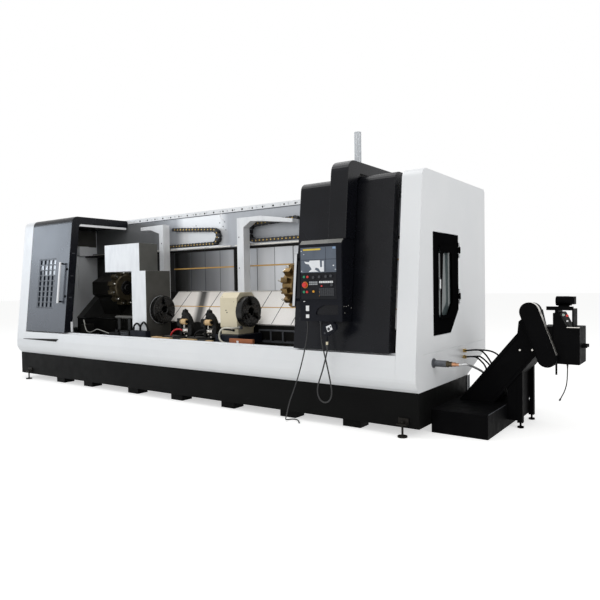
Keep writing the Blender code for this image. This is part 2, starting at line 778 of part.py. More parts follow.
def left_hood():
    pivot = empty("left_hood_slide", (LEFT_HOOD[0], 0.0, HOOD_BOTTOM), MACHINE)
    door = hood("left_hood", LEFT_HOOD, pivot)
    x0, x1, z0, z1 = WINDOW
    cut(door, lean_block(x0, x1, z0, z1, -0.05, HOOD_WALL + 0.06), pivot=pivot)
    smooth(door)
    gap = SEAT
    grille = finished(
        "left_window_grille",
        lean_block(x0 + gap, x1 - gap, z0 + gap, z1 - gap, 0.004, 0.004 + GRILLE_DEPTH),
        BLACK,
        pivot,
    )
    pitch_x = (x1 - x0 - WINDOW_BAR) / WINDOW_COLUMNS
    pitch_z = (z1 - z0 - WINDOW_BAR) / WINDOW_ROWS
    panes = []
    for row in range(WINDOW_ROWS):
        low = z0 + WINDOW_BAR + row * pitch_z
        for column in range(WINDOW_COLUMNS):
            start = x0 + WINDOW_BAR + column * pitch_x
            right, top = start + pitch_x - WINDOW_BAR, low + pitch_z - WINDOW_BAR
            panes.append(lean_block(start, right, low, top, -0.02, 0.05))
    cut(grille, merged(panes), pivot=pivot)
    glass_front = 0.005 + GRILLE_DEPTH
    finished(
        "left_window_glass",
        lean_block(x0 + gap, x1 - gap, z0 + gap, z1 - gap, glass_front, glass_front + GLASS_DEPTH),
        GLASS,
        pivot,
    )
    handle("left_hood_handle", *LEFT_HANDLE, pivot, CLEAR)
    width, height = LIGHT_BAR
    roof_under = BODY_TOP - HOOD_ROOF
    finished(
        "left_hood_light",
        block_mesh(
            (LEFT_HOOD[1] - width - 0.005, 0.30, roof_under - height),
            (LEFT_HOOD[1] - 0.005, HOOD_BACK - 0.02, roof_under - SEAT),
        ),
        CLEAR,
        pivot,
    )


def merged(meshes):
    """One mesh of several that don't touch."""
    shape = bmesh.new()
    for mesh in meshes:
        shape.from_mesh(mesh)
    return mesh_of(shape, "merged")


def right_hood():
    pivot = empty("right_hood_slide", (RIGHT_HOOD[0], 0.0, HOOD_BOTTOM), MACHINE)
    smooth(hood("right_hood", RIGHT_HOOD, pivot))
    handle("right_hood_handle", *RIGHT_HANDLE, pivot, BRIGHT)


def control_arm():
    """Arm from the roof over the hood and down its front, as a bent box."""
    low = BOX_Z[1] + SEAT
    back_low = lean_y(low) - BOX_CLEARANCE
    bend = ARM_UNDER
    angle = math.degrees(math.atan(LEAN))
    front_y = lean_y(ARM_TOP - ARM_RADIUS) - ARM_DEPTH
    centre = (front_y + ARM_RADIUS, ARM_TOP - ARM_RADIUS)
    outline = [(lean_y(low) - ARM_DEPTH, low)]
    outline += arc(centre, ARM_RADIUS, 180 - angle, 90, 6)
    outline += [
        (HOOD_BACK + 0.01, ARM_TOP),
        (REAR_FRONT + 0.10, ARM_TOP),
        (REAR_FRONT + 0.10, BODY_TOP + SEAT),
        (REAR_FRONT + 0.01, BODY_TOP + SEAT),
        (REAR_FRONT + 0.01, RAIL_HEIGHT[1] + 0.008),
        (ARM_CORNER[0], bend),
        (lean_y(bend - ARM_CORNER[1]) - BOX_CLEARANCE, bend - ARM_CORNER[1]),
        (back_low, low),
    ]
    arm = finished("control_arm", extruded_mesh([outline], "x", *ARM_X), BLACK)
    bevel(arm, 0.008, 2)
    smooth(arm)
    x, y, height, radius = TOWER
    lamp = rod_mesh("z", (x, y), radius, ARM_TOP + SEAT, ARM_TOP + height, 24)
    tower = finished("light_tower", lamp, CLEAR)
    smooth(tower)


def control_box():
    z0, z1 = BOX_Z
    outline = [
        (BOX_FRONT, z0 + 0.03),
        (BOX_FRONT, z1 - 0.04),
        (BOX_FRONT + 0.04, z1),
        (lean_y(z1) - BOX_CLEARANCE, z1),
        (lean_y(z0) - BOX_CLEARANCE, z0),
        (BOX_FRONT + 0.03, z0),
    ]
    cabinet = finished("control_box", extruded_mesh([outline], "x", *BOX_X), BLACK)
    recess = 0.012
    for x0, x1, low, high in (SCREEN, KEY_PANEL):
        cut(cabinet, block_mesh((x0, BOX_FRONT - 0.02, low), (x1, BOX_FRONT + recess, high)))
    smooth(cabinet)
    x0, x1, low, high = SCREEN
    finished(
        "control_screen",
        block_mesh(
            (x0 + SEAT, BOX_FRONT + 0.003, low + SEAT),
            (x1 - SEAT, BOX_FRONT + recess - SEAT, high - SEAT),
        ),
        SCREEN_GREY,
    )
    x0, x1, low, high = KEY_PANEL
    keys = finished(
        "key_panel",
        block_mesh(
            (x0 + SEAT, BOX_FRONT + 0.003, low + SEAT),
            (x1 - SEAT, BOX_FRONT + recess - SEAT, high - SEAT),
        ),
        PLASTIC,
    )
    stop = (x0 + 0.045, (low + high) / 2 + 0.02)
    join(keys, rod_mesh("y", stop, 0.024, BOX_FRONT - 0.03, BOX_FRONT + 0.008, 20))
    knob_z = high - 0.035
    for index in range(4):
        knob = (x0 + 0.145 + index * 0.052, knob_z)
        join(keys, rod_mesh("y", knob, 0.014, BOX_FRONT - 0.018, BOX_FRONT + 0.008, 16))
    x0, x1, low, high = HANDWHEEL
    casing = block_mesh((x0, BOX_FRONT - 0.02, low), (x1, BOX_FRONT + 0.03, high))
    wheel = finished("handwheel_unit", casing, PLASTIC)
    hook = (x0 + x1) / 2
    join(
        wheel,
        rod_mesh("y", (hook, (low + high) / 2), 0.035, BOX_FRONT - HANDWHEEL_REACH, BOX_FRONT - 0.01, 24),
        block_mesh(
            (hook - 0.03, BOX_FRONT + 0.02, high - 0.05),
            (hook + 0.03, BOX_FRONT + 0.04, BOX_Z[0] - SEAT),
        ),
    )


def headstocks():
    first = finished("headstock_1", block_mesh(*HEADSTOCK_1), GREY)
    face_1 = HEADSTOCK_1[1][0]
    bore = SPINDLE_RADIUS + SHAFT_GAP
    depth = SPINDLE_LENGTH + 0.006
    cut(first, rod_mesh("x", (SPINDLE_Y, SPINDLE_Z), bore, face_1 - depth, face_1 + 0.05, 48))
    x0, x1, y0, y1, height = HEADSTOCK_1_COVER
    base_z = HEADSTOCK_1[1][2] + SEAT
    finished("headstock_1_cover", block_mesh((x0, y0, base_z), (x1, y1, base_z + height)), GREY)
    x0, x1, y0, y1, z0, z1 = HEADSTOCK_2
    chamfer = HEADSTOCK_2_CHAMFER
    outline = [
        (y0, z0),
        (y0, z1 - chamfer),
        (y0 + chamfer, z1),
        (y1 - chamfer, z1),
        (y1, z1 - chamfer),
        (y1, z0),
        (y1 - 0.04, z0 - 0.03),
        (y1 - 0.04, SADDLE_2[1][2] + SEAT),
        (y0 + 0.02, SADDLE_2[1][2] + SEAT),
        (y0 + 0.02, z0 - 0.03),
    ]
    pivot = empty("headstock_2_slide", ((x0 + x1) / 2, SPINDLE_Y, RAIL_TOP), MACHINE)
    second = finished("headstock_2", extruded_mesh([outline], "x", x0, x1), CREAM, pivot)
    cut(second, rod_mesh("x", (SPINDLE_Y, SPINDLE_Z), bore, x1 - depth, x1 + 0.05, 48), pivot=pivot)
    finished("headstock_2_saddle", block_mesh(*SADDLE_2), IRON, pivot)
    chuck("chuck_1", face_1, CHUCK_1_DEPTH, MACHINE)
    chuck("chuck_2", x1, CHUCK_2_DEPTH, MACHINE)


def chuck(name, face, depth, parent):
    pivot = empty(f"{name}_axis", (face, SPINDLE_Y, SPINDLE_Z), parent)
    centre = (SPINDLE_Y, SPINDLE_Z)
    start = face + RUNNING_GAP
    disc = finished(name, rod_mesh("x", centre, CHUCK_RADIUS, start, start + depth, 48), IRON, pivot)
    join(disc, rod_mesh("x", centre, SPINDLE_RADIUS, face - SPINDLE_LENGTH, start + 0.01, 48), pivot=pivot)
    jaw_inner = 0.075
    jaw_outer = CHUCK_RADIUS - 0.012
    for index in range(3):
        turn = Matrix.Rotation(math.radians(90 + 120 * index), 4, "X")
        middle = Matrix.Translation((0.0, *centre))
        jaw = block_mesh((start + depth - 0.01, jaw_inner, -0.025), (start + depth + 0.045, jaw_outer, 0.025))
        jaw.transform(middle @ turn)
        join(disc, jaw, pivot=pivot)
    cut(disc, rod_mesh("x", centre, CHUCK_BORE, start + depth - 0.09, start + depth + 0.1, 32), pivot=pivot)
    smooth(disc)


def turret(number, face, direction):
    """Tool turret whose disc turns about x; direction is +1 where its tools face +x."""
    centre = (TURRET_Y, TURRET_Z)
    far = face + direction * DISC_DEPTH
    pivot = empty(f"turret_{number}_axis", (face, *centre), MACHINE)
    low, high = sorted((face, far))
    disc = finished(
        f"turret_{number}_disc",
        rod_mesh("x", centre, TURRET_RADIUS, low, high, TURRET_STATIONS),
        BRONZE,
        pivot,
    )
    stub = sorted((face - direction * PIVOT_LENGTH, face + direction * 0.01))
    hub = sorted((far - direction * 0.01, far + direction * 0.012))
    join(
        disc,
        rod_mesh("x", centre, PIVOT_RADIUS, *stub, 32),
        rod_mesh("x", centre, HUB_RADIUS, *hub, 24),
        pivot=pivot,
    )
    width, thickness = TOOL_BLOCK
    middle_x = face + direction * DISC_DEPTH * 0.55
    shank, step = TOOL_SHANK
    for index in range(TURRET_STATIONS):
        turn = Matrix.Rotation(math.radians(15 + 360 / TURRET_STATIONS * index), 4, "X")
        holder = block_mesh(
            (middle_x - width / 2, TURRET_RADIUS * 0.90, -thickness / 2),
            (middle_x + width / 2, TOOL_REACH - step, thickness / 2),
        )
        tip = TOOL_REACH - 0.008 * (index % 3)
        if index % 2:
            tool = rod_mesh("z", (middle_x, 0.0), shank, TOOL_REACH - step - 0.01, tip, 10)
            tool.transform(Matrix.Rotation(math.radians(-90), 4, "X"))
        else:
            tool = block_mesh((middle_x - 0.035, TOOL_REACH - step - 0.01, -shank), (middle_x - 0.005, tip, shank))
        for mesh in (holder, tool):
            mesh.transform(Matrix.Translation((0.0, *centre)) @ turn)
            join(disc, mesh, pivot=pivot)
    near = face - direction * RUNNING_GAP
    end = near - direction * TURRET_BODY_LENGTH
    body_span = sorted((near, end))
    body = finished(
        f"turret_{number}_body",
        rod_mesh("x", centre, TURRET_BODY_RADIUS, *body_span, 6),
        IRON,
    )
    slope_low = slope_point(0.15, SEAT)
    slope_high = slope_point(0.85, SEAT)
    saddle = [
        tuple(slope_low),
        tuple(slope_high),
        (TURRET_Y + 0.12, TURRET_Z + 0.02),
        (TURRET_Y - 0.12, TURRET_Z - 0.05),
    ]
    inset = sorted((near - direction * 0.02, end + direction * 0.02))
    join(body, extruded_mesh([saddle], "x", *inset))
    bore = sorted((near + direction * 0.05, near - direction * (PIVOT_LENGTH + 0.01)))
    cut(body, rod_mesh("x", centre, PIVOT_RADIUS + SHAFT_GAP, *bore, 32))


def column(name, span, top, arm_end):
    """Upright on the slanted cover, with an arm along the wall at its top."""
    y0, y1 = COLUMN_Y
    run = SLOPE_TOP[0] - SLOPE_FOOT[0]
    rise = SLOPE_TOP[1] - SLOPE_FOOT[1]
    foot_front = SLOPE_FOOT[1] + (y0 - SLOPE_FOOT[0]) / run * rise
    foot_back = SLOPE_FOOT[1] + (y1 - SLOPE_FOOT[0]) / run * rise
    outline = [(y0, foot_front + 2 * SEAT), (y0, top), (y1, top), (y1, foot_back + 2 * SEAT)]
    post = finished(name, extruded_mesh([outline], "x", *span), WHITE)
    near = span[0] + 0.02 if arm_end > span[1] else span[1] - 0.02
    x0, x1 = sorted((near, arm_end))
    join(post, block_mesh((x0, y0, top - ARM_THICKNESS), (x1, y1 - 0.002, top + 0.0005)))


def brackets():
    column("bracket_1", COLUMN_1, COLUMN_1_TOP, ARM_1_END)
    column("bracket_2", COLUMN_2, COLUMN_2_TOP, ARM_2_END)


def chain_place(bend, upper_end, lower_end, travelled, offset):
    """The (x, z) place beside the chain's middle line, at a distance from its end on the ledge."""
    side = 1 if upper_end < bend else -1
    centre_z = LEDGE_TOP + SEAT + CHAIN_RADIUS + CHAIN_HEIGHT / 2
    radius = CHAIN_RADIUS + offset
    beyond = travelled - abs(bend - lower_end)
    if beyond <= 0:
        return bend + side * beyond, centre_z - radius
    if beyond <= math.pi * CHAIN_RADIUS:
        angle = beyond / CHAIN_RADIUS - math.pi / 2
        return bend + side * radius * math.cos(angle), centre_z + radius * math.sin(angle)
    return bend - side * (beyond - math.pi * CHAIN_RADIUS), centre_z + radius


def strip_mesh(outer, inner, start, end):
    """A solid between two rows of (x, z) places, from one y to another."""
    shape = bmesh.new()
    rings = []
    for first, second in zip(outer, inner):
        corners = ((first, start), (second, start), (second, end), (first, end))
        rings.append([shape.verts.new((x, y, z)) for (x, z), y in corners])
    for ring, after in zip(rings, rings[1:]):
        for index in range(4):
            beside = (index + 1) % 4
            shape.faces.new((ring[index], ring[beside], after[beside], after[index]))
    shape.faces.new(rings[0])
    shape.faces.new(rings[-1])
    return mesh_of(shape, "strip")


def energy_chain(name, bend, upper_end, lower_end):
    """Energy chain that lies on the ledge, bends and runs back above itself, link by link."""
    route = (bend, upper_end, lower_end)
    length = abs(bend - lower_end) + math.pi * CHAIN_RADIUS + abs(bend - upper_end)
    links = round(length / LINK_PITCH)
    pitch = length / links
    half_width, depth = LINK_NOTCH
    half = CHAIN_HEIGHT / 2
    outer = [chain_place(*route, 0.0, half)]
    inner = [chain_place(*route, 0.0, -half)]
    for index in range(1, links):
        joint = pitch * index
        for step, rise in ((-half_width, half), (0.0, half - depth), (half_width, half)):
            outer.append(chain_place(*route, joint + step, rise))
            inner.append(chain_place(*route, joint + step, -rise))
    outer.append(chain_place(*route, length, half))
    inner.append(chain_place(*route, length, -half))
    chain = finished(name, strip_mesh(outer, inner, *CHAIN_Y), PLASTIC)
    radius, reach = LINK_PIN
    front = CHAIN_Y[0]
    pins = []
    for index in range(1, links):
        place = chain_place(*route, pitch * index, 0.0)
        pins.append(rod_mesh("y", place, radius, front - reach, front + 0.0053, 9))
    join(chain, merged(pins))


def steady_rest(name, x):
    """Roller stand on the lower bed: base, curved arm, motor box, cylinder and roller."""
    y0, y1 = STEADY_Y
    base_z = RAIL_TOP + SEAT
    middle = (y0 + y1) / 2
    stand = finished(name, block_mesh((x, y0, base_z), (x + 0.42, y1 + 0.22, base_z + 0.06)), IRON)
    arm_z = base_z + 0.05
    arm = [(x + 0.33, arm_z), (x + 0.418, arm_z), (x + 0.424, arm_z + 0.025), (x + 0.44, arm_z + 0.032)]
    arm += arc((x + 0.285, 0.80), STEADY_ARM[0], 37.4, 90, 7)
    arm += arc((x + 0.255, 0.80), STEADY_ARM[1], 82, -4, 8)
    join(
        stand,
        block_mesh((x + 0.20, middle - 0.04, base_z + 0.05), (x + 0.29, middle + 0.04, 0.985)),
        rod_mesh("x", (middle - 0.005, 0.83), 0.037, x + 0.285, x + 0.375, 20),
        rod_mesh("x", (middle, 0.955), 0.043, x + 0.285, x + 0.425, 20),
        extruded_mesh([arm], "y", middle - 0.03, middle + 0.03),
    )


def end_door():
    outline = [
        (DOOR_FRONT, DOOR_BOTTOM),
        (DOOR_CHAMFER[0], DOOR_BOTTOM),
        (DOOR_REAR, DOOR_CHAMFER[1]),
        (DOOR_REAR, DOOR_TOP),
        (DOOR_FRONT, DOOR_TOP),
    ]
    face = BODY_LENGTH + DOOR_PROUD
    axis_x, axis_y = hinge_axis()
    pivot = empty("end_door_hinge", (axis_x, axis_y, DOOR_BOTTOM), MACHINE)
    door = finished("end_door", extruded_mesh([outline], "x", face - DOOR_DEPTH, face), BLACK, pivot)
    for z in HINGE_HEIGHTS:
        reach = HINGE_HALF + RUNNING_GAP + HINGE_EAR - 0.005
        join(
            door,
            block_mesh((face - 0.005, axis_y - HINGE_LEAF, z - HINGE_HALF), (axis_x, axis_y, z + HINGE_HALF)),
            rod_mesh("z", (axis_x, axis_y), HINGE_RADIUS, z - HINGE_HALF, z + HINGE_HALF, 20),
            rod_mesh("z", (axis_x, axis_y), HINGE_PIN_RADIUS, z - reach, z + reach, 20),
            pivot=pivot,
        )
    y0, y1, z0, z1 = END_WINDOW
    chamfer = END_WINDOW_CHAMFER
    window = [(y0, z0), (y1 - chamfer, z0), (y1, z0 + chamfer), (y1, z1), (y0, z1)]
    cut(door, extruded_mesh([window], "x", face - DOOR_DEPTH - 0.02, face + 0.02), pivot=pivot)
    gap = SEAT
    pane = [
        (y0 + gap, z0 + gap),
        (y1 - chamfer - gap, z0 + gap),
        (y1 - gap, z0 + chamfer + gap),
        (y1 - gap, z1 - gap),
        (y0 + gap, z1 - gap),
    ]
    finished("end_door_glass", extruded_mesh([pane], "x", face - 0.02, face - 0.012), GLASS, pivot)
    y, low, high = END_HANDLE
    bar = finished(
        "end_door_handle",
        block_mesh((face + 0.035, y - 0.012, low), (face + 0.055, y + 0.012, high)),
        CLEAR,
        pivot,
    )
    for z in (low + 0.02, high - 0.02):
        foot = block_mesh((face + SEAT, y - 0.01, z - 0.01), (face + 0.045, y + 0.01, z + 0.01))
        join(bar, foot, pivot=pivot)


def coolant_fitting():
    x = BODY_LENGTH + SEAT
    centre = (0.33, 0.64)
    fitting = finished("coolant_fitting", rod_mesh("x", centre, 0.045, x, x + 0.012, 24), CHROME)
    join(
        fitting,
        rod_mesh("x", centre, 0.022, x + 0.008, x + 0.13, 20),
        rod_mesh("x", centre, 0.026, x + 0.035, x + 0.055, 20),
        rod_mesh("x", centre, 0.028, x + 0.115, x + 0.135, 20),
        rod_mesh("x", centre, 0.025, x + 0.13, x + 0.185, 6),
        rod_mesh("x", centre, 0.013, x + 0.18, x + 0.25, 16),
    )
    smooth(fitting)


def conveyor():
    finished("conveyor_tank", block_mesh(*TANK), BASE_BLACK)
    foot = Vector(INCLINE_FOOT)
    top = Vector(INCLINE_TOP)
    direction = (top - foot).normalized()
    normal = Vector((direction.y, -direction.x))
    level = TANK[1][2] + SEAT
    foot_low = foot + normal * INCLINE_DEPTH
    slide = (level - foot_low.y) / direction.y
    outline = [
        (foot.x + direction.x * (level - foot.y) / direction.y, level),
        INCLINE_TOP,
        HEAD_CORNER,
        GUARD_TOP,
        tuple(top + normal * INCLINE_DEPTH),
        tuple(foot_low + direction * slide),
    ]
    incline = finished("conveyor_incline", extruded_mesh([outline], "y", *CONVEYOR_Y), BASE_BLACK)
    head = obround(GUARD_FOOT, GUARD_TOP, GUARD_RADIUS)
    y = CONVEYOR_Y[0] - SEAT
    guard = finished("chain_guard", extruded_mesh([head], "y", y - GUARD_DEPTH, y), BASE_BLACK)
    bevel(guard, 0.01, 2)
    smooth(guard)
    drum_start = CONVEYOR_Y[0] + 0.0005
    join(incline, rod_mesh("y", GUARD_TOP, GUARD_RADIUS - 0.004, drum_start, DRUM_END, 24))
    under = tuple(foot_low + direction * (slide + 0.52))
    leg_top = under[1] - 0.02
    near = CONVEYOR_Y[0] + 0.01
    far = CONVEYOR_Y[1] - 0.06
    legs = finished(
        "conveyor_legs",
        block_mesh((LEG_X[0], near, LEG_FOOT[1]), (LEG_X[1], near + 0.05, leg_top)),
        BASE_BLACK,
    )
    leg_x = sum(LEG_X) / 2
    radius, height = LEG_FOOT
    join(
        legs,
        block_mesh((LEG_X[0], far, height), (LEG_X[1], far + 0.05, leg_top)),
        block_mesh((TANK[1][0] + SEAT, near + 0.003, LINER_BOTTOM), (LEG_X[0] + 0.005, far + 0.047, leg_top)),
    )
    for leg_y in (near + 0.025, far + 0.025):
        join(
            legs,
            rod_mesh("z", (leg_x, leg_y), radius, 0.0, 0.014, 20),
            rod_mesh("z", (leg_x, leg_y), 0.010, 0.007, height + 0.02, 12),
        )
    wedge = extruded_mesh(
        [
            [
                tuple(foot_low + direction * (slide - 0.3) - normal * 0.5),
                tuple(top - normal * 0.5 + direction * 0.3),
                tuple(top + normal * (INCLINE_DEPTH + SEAT) + direction * 0.3),
                tuple(foot_low + normal * SEAT + direction * (slide - 0.3)),
            ]
        ],
        "y",
        CONVEYOR_Y[0] - 0.1,
        CONVEYOR_Y[1] + 0.1,
    )
    cut(legs, wedge)
    x0, x1, y0, y1, z0 = CABINET
    crest_x, crest_z = CABINET_CREST
    cabinet_outline = [(x0, z0), (x1, z0), (x1, CABINET_LEDGE[1]), CABINET_LEDGE, CABINET_CREST, (x0, crest_z)]
    cabinet = finished("conveyor_cabinet", extruded_mesh([cabinet_outline], "y", y0, y1), BASE_BLACK)
    bevel(cabinet, 0.004, 1)
    for gland in CABINET_GLANDS:
        join(cabinet, rod_mesh("x", gland, 0.016, x1 - 0.01, GLAND_END, 12))
    join(cabinet, rod_mesh("z", (x0 + 0.017, 0.90), 0.009, z0 - 0.108, z0 + 0.01, 12))
    gear_low, gear_high = GUARD_FOOT[1] - 0.08, GUARD_FOOT[1] + 0.285
    gearbox = block_mesh((GUARD_FOOT[0] - 0.06, CONVEYOR_Y[0], gear_low), (x0 - SEAT, y1 - 0.02, gear_high))
    motor = finished("conveyor_motor", gearbox, BASE_BLACK)
    bevel(motor, 0.004, 1)
    shelf_x = (GUARD_FOOT[0] - 0.02, GUARD_FOOT[0] + 0.21)
    front, back = y0 + 0.02, y0 + 0.20
    plate = finished(
        "motor_bracket",
        block_mesh((shelf_x[0], front, SHELF_Z), (shelf_x[1], back, SHELF_Z + 0.012)),
        BASE_BLACK,
    )
    motor_y, motor_z = front + 0.09, SHELF_Z + 0.083
    start, end = crest_x - 0.046, crest_x + 0.085
    web = SHELF_Z + 0.006
    join(
        plate,
        block_mesh((shelf_x[0], front, SHELF_Z), (shelf_x[1], front + 0.010, SHELF_Z + 0.035)),
        block_mesh((shelf_x[1] - 0.012, front, CABINET_LEDGE[1] + SEAT), (shelf_x[1], back, web)),
        block_mesh((crest_x - 0.04, front, crest_z + SEAT), (crest_x - 0.01, back, web)),
        rod_mesh("x", (motor_y, motor_z), 0.042, start, end, 24),
        block_mesh((start + 0.02, motor_y - 0.02, web), (end - 0.02, motor_y + 0.02, motor_z)),
        block_mesh(
            (end - 0.01, motor_y - 0.045, motor_z - 0.03),
            (end + 0.03, motor_y + 0.045, motor_z + 0.04),
        ),
    )


def cables():
    floor_route = [
        (5.62, BOX_FRONT + 0.06, BOX_Z[0] - SEAT),
        (5.62, BOX_FRONT + 0.06, BOX_Z[0] - 0.03),
        (5.62, BOX_FRONT + 0.06, BOX_Z[0] - 0.06),
        (5.614, BOX_FRONT + 0.045, 0.86),
        (5.585, BOX_FRONT + 0.010, 0.66),
        (5.520, BOX_FRONT, 0.45),
        (5.440, BOX_FRONT - 0.002, 0.26),
        (5.405, BOX_FRONT + 0.002, 0.17),
        (5.366, BOX_FRONT + 0.024, 0.085),
        (5.322, BOX_FRONT + 0.066, 0.030),
        (5.300, BOX_FRONT + 0.122, 0.0095),
        (5.332, BOX_FRONT + 0.174, 0.0085),
        (5.392, BOX_FRONT + 0.170, 0.0085),
        (5.440, BOX_FRONT + 0.128, 0.0085),
        (5.490, BOX_FRONT + 0.070, 0.0085),
    ]
    places = smooth_route([Vector(point) for point in floor_route], 60)
    tube("floor_cable", places, 0.006, RUBBER)
    x0, x1, low, high = HANDWHEEL
    loop_route = [
        (x0 + 0.02, BOX_FRONT, low - SEAT),
        (x0 + 0.02, BOX_FRONT, low - 0.03),
        (x0 + 0.02, BOX_FRONT, low - 0.06),
        (5.84, BOX_FRONT - 0.01, 0.60),
        (5.785, BOX_FRONT - 0.015, 0.44),
        (5.775, BOX_FRONT - 0.015, 0.36),
        (5.80, BOX_FRONT - 0.014, 0.295),
        (5.853, BOX_FRONT - 0.010, 0.270),
        (5.905, BOX_FRONT - 0.004, 0.298),
        (5.925, BOX_FRONT, 0.365),
        (5.905, BOX_FRONT + 0.010, 0.47),
        (5.85, BOX_FRONT + 0.025, 0.66),
        (5.79, BOX_FRONT + 0.045, 0.84),
        (5.77, BOX_FRONT + 0.065, BOX_Z[0] - 0.06),
        (5.77, BOX_FRONT + 0.065, BOX_Z[0] - 0.03),
        (5.77, BOX_FRONT + 0.065, BOX_Z[0] - SEAT),
    ]
    places = smooth_route([Vector(point) for point in loop_route], 52)
    tube("handwheel_cable", places, 0.007, RUBBER)
    under = CABINET[4] - SEAT
    lead_route = [
        (7.772, 0.90, under),
        (7.772, 0.90, under - 0.03),
        (7.772, 0.90, under - 0.06),
        (7.769, 0.90, 0.50),
        (7.762, 0.90, 0.44),
        (7.745, 0.90, 0.38),
        (7.722, 0.90, 0.33),
        (7.706, 0.90, 0.297),
    ]
    places = smooth_route([Vector(point) for point in lead_route], 20)
    tube("conveyor_lead", places, 0.005, RUBBER)


base()
for foot_x, side_name in zip(FOOT_X, ("left", "right")):
    levelling_foot(f"levelling_foot_front_{side_name}", foot_x, True)
levelling_foot("levelling_foot_rear_left", FOOT_X[0], False)
levelling_foot("levelling_foot_rear_right", REAR_RIGHT_FOOT_X, False)
end_panels()
apron()
rear_wall()
way_covers()
beds()
left_hood()
right_hood()
control_arm()
control_box()
headstocks()
turret(1, TURRET_1_DISC, 1)
turret(2, TURRET_2_DISC + DISC_DEPTH, -1)
brackets()
energy_chain("energy_chain_1", CHAIN_1_BEND, *CHAIN_1_RUNS)
energy_chain("energy_chain_2", CHAIN_2_BEND, *CHAIN_2_RUNS)
for index, steady_x in enumerate(STEADY_X, start=1):
    steady_rest(f"steady_rest_{index}", steady_x)
end_door()
coolant_fitting()
conveyor()
cables()
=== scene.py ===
"""Looks of the twin-spindle lathe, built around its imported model.

Metres, +Z up. Places are measured from CORNER, the front left corner of the base on the floor:
x to the right along the machine, y to the back, z up.
"""

import json
import math

import bmesh
import bpy
from mathutils import Matrix, Vector


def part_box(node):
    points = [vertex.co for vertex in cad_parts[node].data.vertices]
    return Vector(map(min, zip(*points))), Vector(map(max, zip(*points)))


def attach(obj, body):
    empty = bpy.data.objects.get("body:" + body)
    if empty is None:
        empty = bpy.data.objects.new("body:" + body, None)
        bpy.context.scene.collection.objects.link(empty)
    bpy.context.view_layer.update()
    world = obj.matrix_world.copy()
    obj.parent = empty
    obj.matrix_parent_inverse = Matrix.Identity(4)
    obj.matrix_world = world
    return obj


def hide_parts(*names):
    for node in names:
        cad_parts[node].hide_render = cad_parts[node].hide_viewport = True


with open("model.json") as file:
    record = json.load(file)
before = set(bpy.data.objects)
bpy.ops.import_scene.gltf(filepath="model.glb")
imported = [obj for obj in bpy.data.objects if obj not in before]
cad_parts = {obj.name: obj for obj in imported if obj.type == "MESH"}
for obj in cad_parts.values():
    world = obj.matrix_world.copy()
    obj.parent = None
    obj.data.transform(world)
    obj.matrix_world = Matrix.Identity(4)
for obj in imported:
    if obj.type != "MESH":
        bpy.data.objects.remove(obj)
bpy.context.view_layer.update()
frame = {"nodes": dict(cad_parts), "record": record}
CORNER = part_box("base_tray")[0]

# Camera, found from the straight edges of the photograph
CAMERA_PLACE = Vector((8.855, -4.746, 1.40))
CAMERA_YAW = math.radians(35.83)
CAMERA_PITCH = math.radians(1.594)
CAMERA_ROLL = math.radians(-0.90)
CAMERA_LENS = 34.46
SENSOR_WIDTH = 36.0

# Leaning front face: depth per height, and the depth and height of its foot
FRONT_LEAN = 0.1067
LEAN_FOOT = (-0.0546, 0.7196)
# Slanted way cover: depth and height of its foot, and height per depth
SLANT_FOOT = (0.690, 0.915)
SLANT_RISE = 0.9878
# Clearance of a cable's end, and the apron's ledge with a clearance
SEAT = 0.0003
LEDGE = 0.7003


def srgb(red, green, blue):
    """A colour as it shows on a screen, 0 to 255, as linear light."""
    return tuple(((level / 255 + 0.055) / 1.055) ** 2.4 if level > 10 else level / 255 / 12.92
                 for level in (red, green, blue))


def front_y(z):
    """Depth of the leaning front face at a height."""
    return LEAN_FOOT[0] + FRONT_LEAN * (z - LEAN_FOOT[1])


def span(node):
    """Lowest and highest corner of a CAD node, measured from CORNER."""
    low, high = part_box(node)
    return low - CORNER, high - CORNER


def smooth_route(points, count):
    """Places spaced evenly along a Catmull-Rom curve through the route's own points."""
    points = [Vector(point) for point in points]
    ends = [points[0] * 2 - points[1], *points, points[-1] * 2 - points[-2]]
    fine = []
    for before, start, end, after in zip(ends, ends[1:], ends[2:], ends[3:]):
        for step in range(20):
            t = step / 20
            fine.append(0.5 * (2 * start + (end - before) * t
                               + (2 * before - 5 * start + 4 * end - after) * t**2
                               + (3 * start - before - 3 * end + after) * t**3))
    fine.append(points[-1])
    lengths = [0.0]
    for first, second in zip(fine, fine[1:]):
        lengths.append(lengths[-1] + (second - first).length)
    places = []
    at = 0
    for step in range(count):
        wanted = lengths[-1] * step / (count - 1)
        while at < len(fine) - 2 and lengths[at + 1] < wanted:
            at += 1
        share = (wanted - lengths[at]) / max(lengths[at + 1] - lengths[at], 1e-9)
        places.append(fine[at].lerp(fine[at + 1], min(share, 1.0)))
    return places


# Shapes, added to one bmesh for each piece


def add_box(shape, low, high, turn=None):
    """A block between two corners; turn is a matrix applied about its middle."""
    low, high = Vector(low), Vector(high)
    made = bmesh.ops.create_cube(shape, size=1.0)["verts"]
    place = Matrix.Translation((low + high) / 2)
    if turn:
        place = place @ turn
    bmesh.ops.transform(shape, verts=made, matrix=place @ Matrix.Diagonal((*(high - low), 1.0)))
    return made


def add_rod(shape, start, end, radius, sides=24, end_radius=None):
    start, end = Vector(start), Vector(end)
    run = end - start
    made = bmesh.ops.create_cone(shape, cap_ends=True, segments=sides, radius1=radius, depth=run.length,
                                 radius2=radius if end_radius is None else end_radius)["verts"]
    turn = run.to_track_quat("Z", "Y").to_matrix().to_4x4()
    bmesh.ops.transform(shape, verts=made, matrix=Matrix.Translation((start + end) / 2) @ turn)
    return made


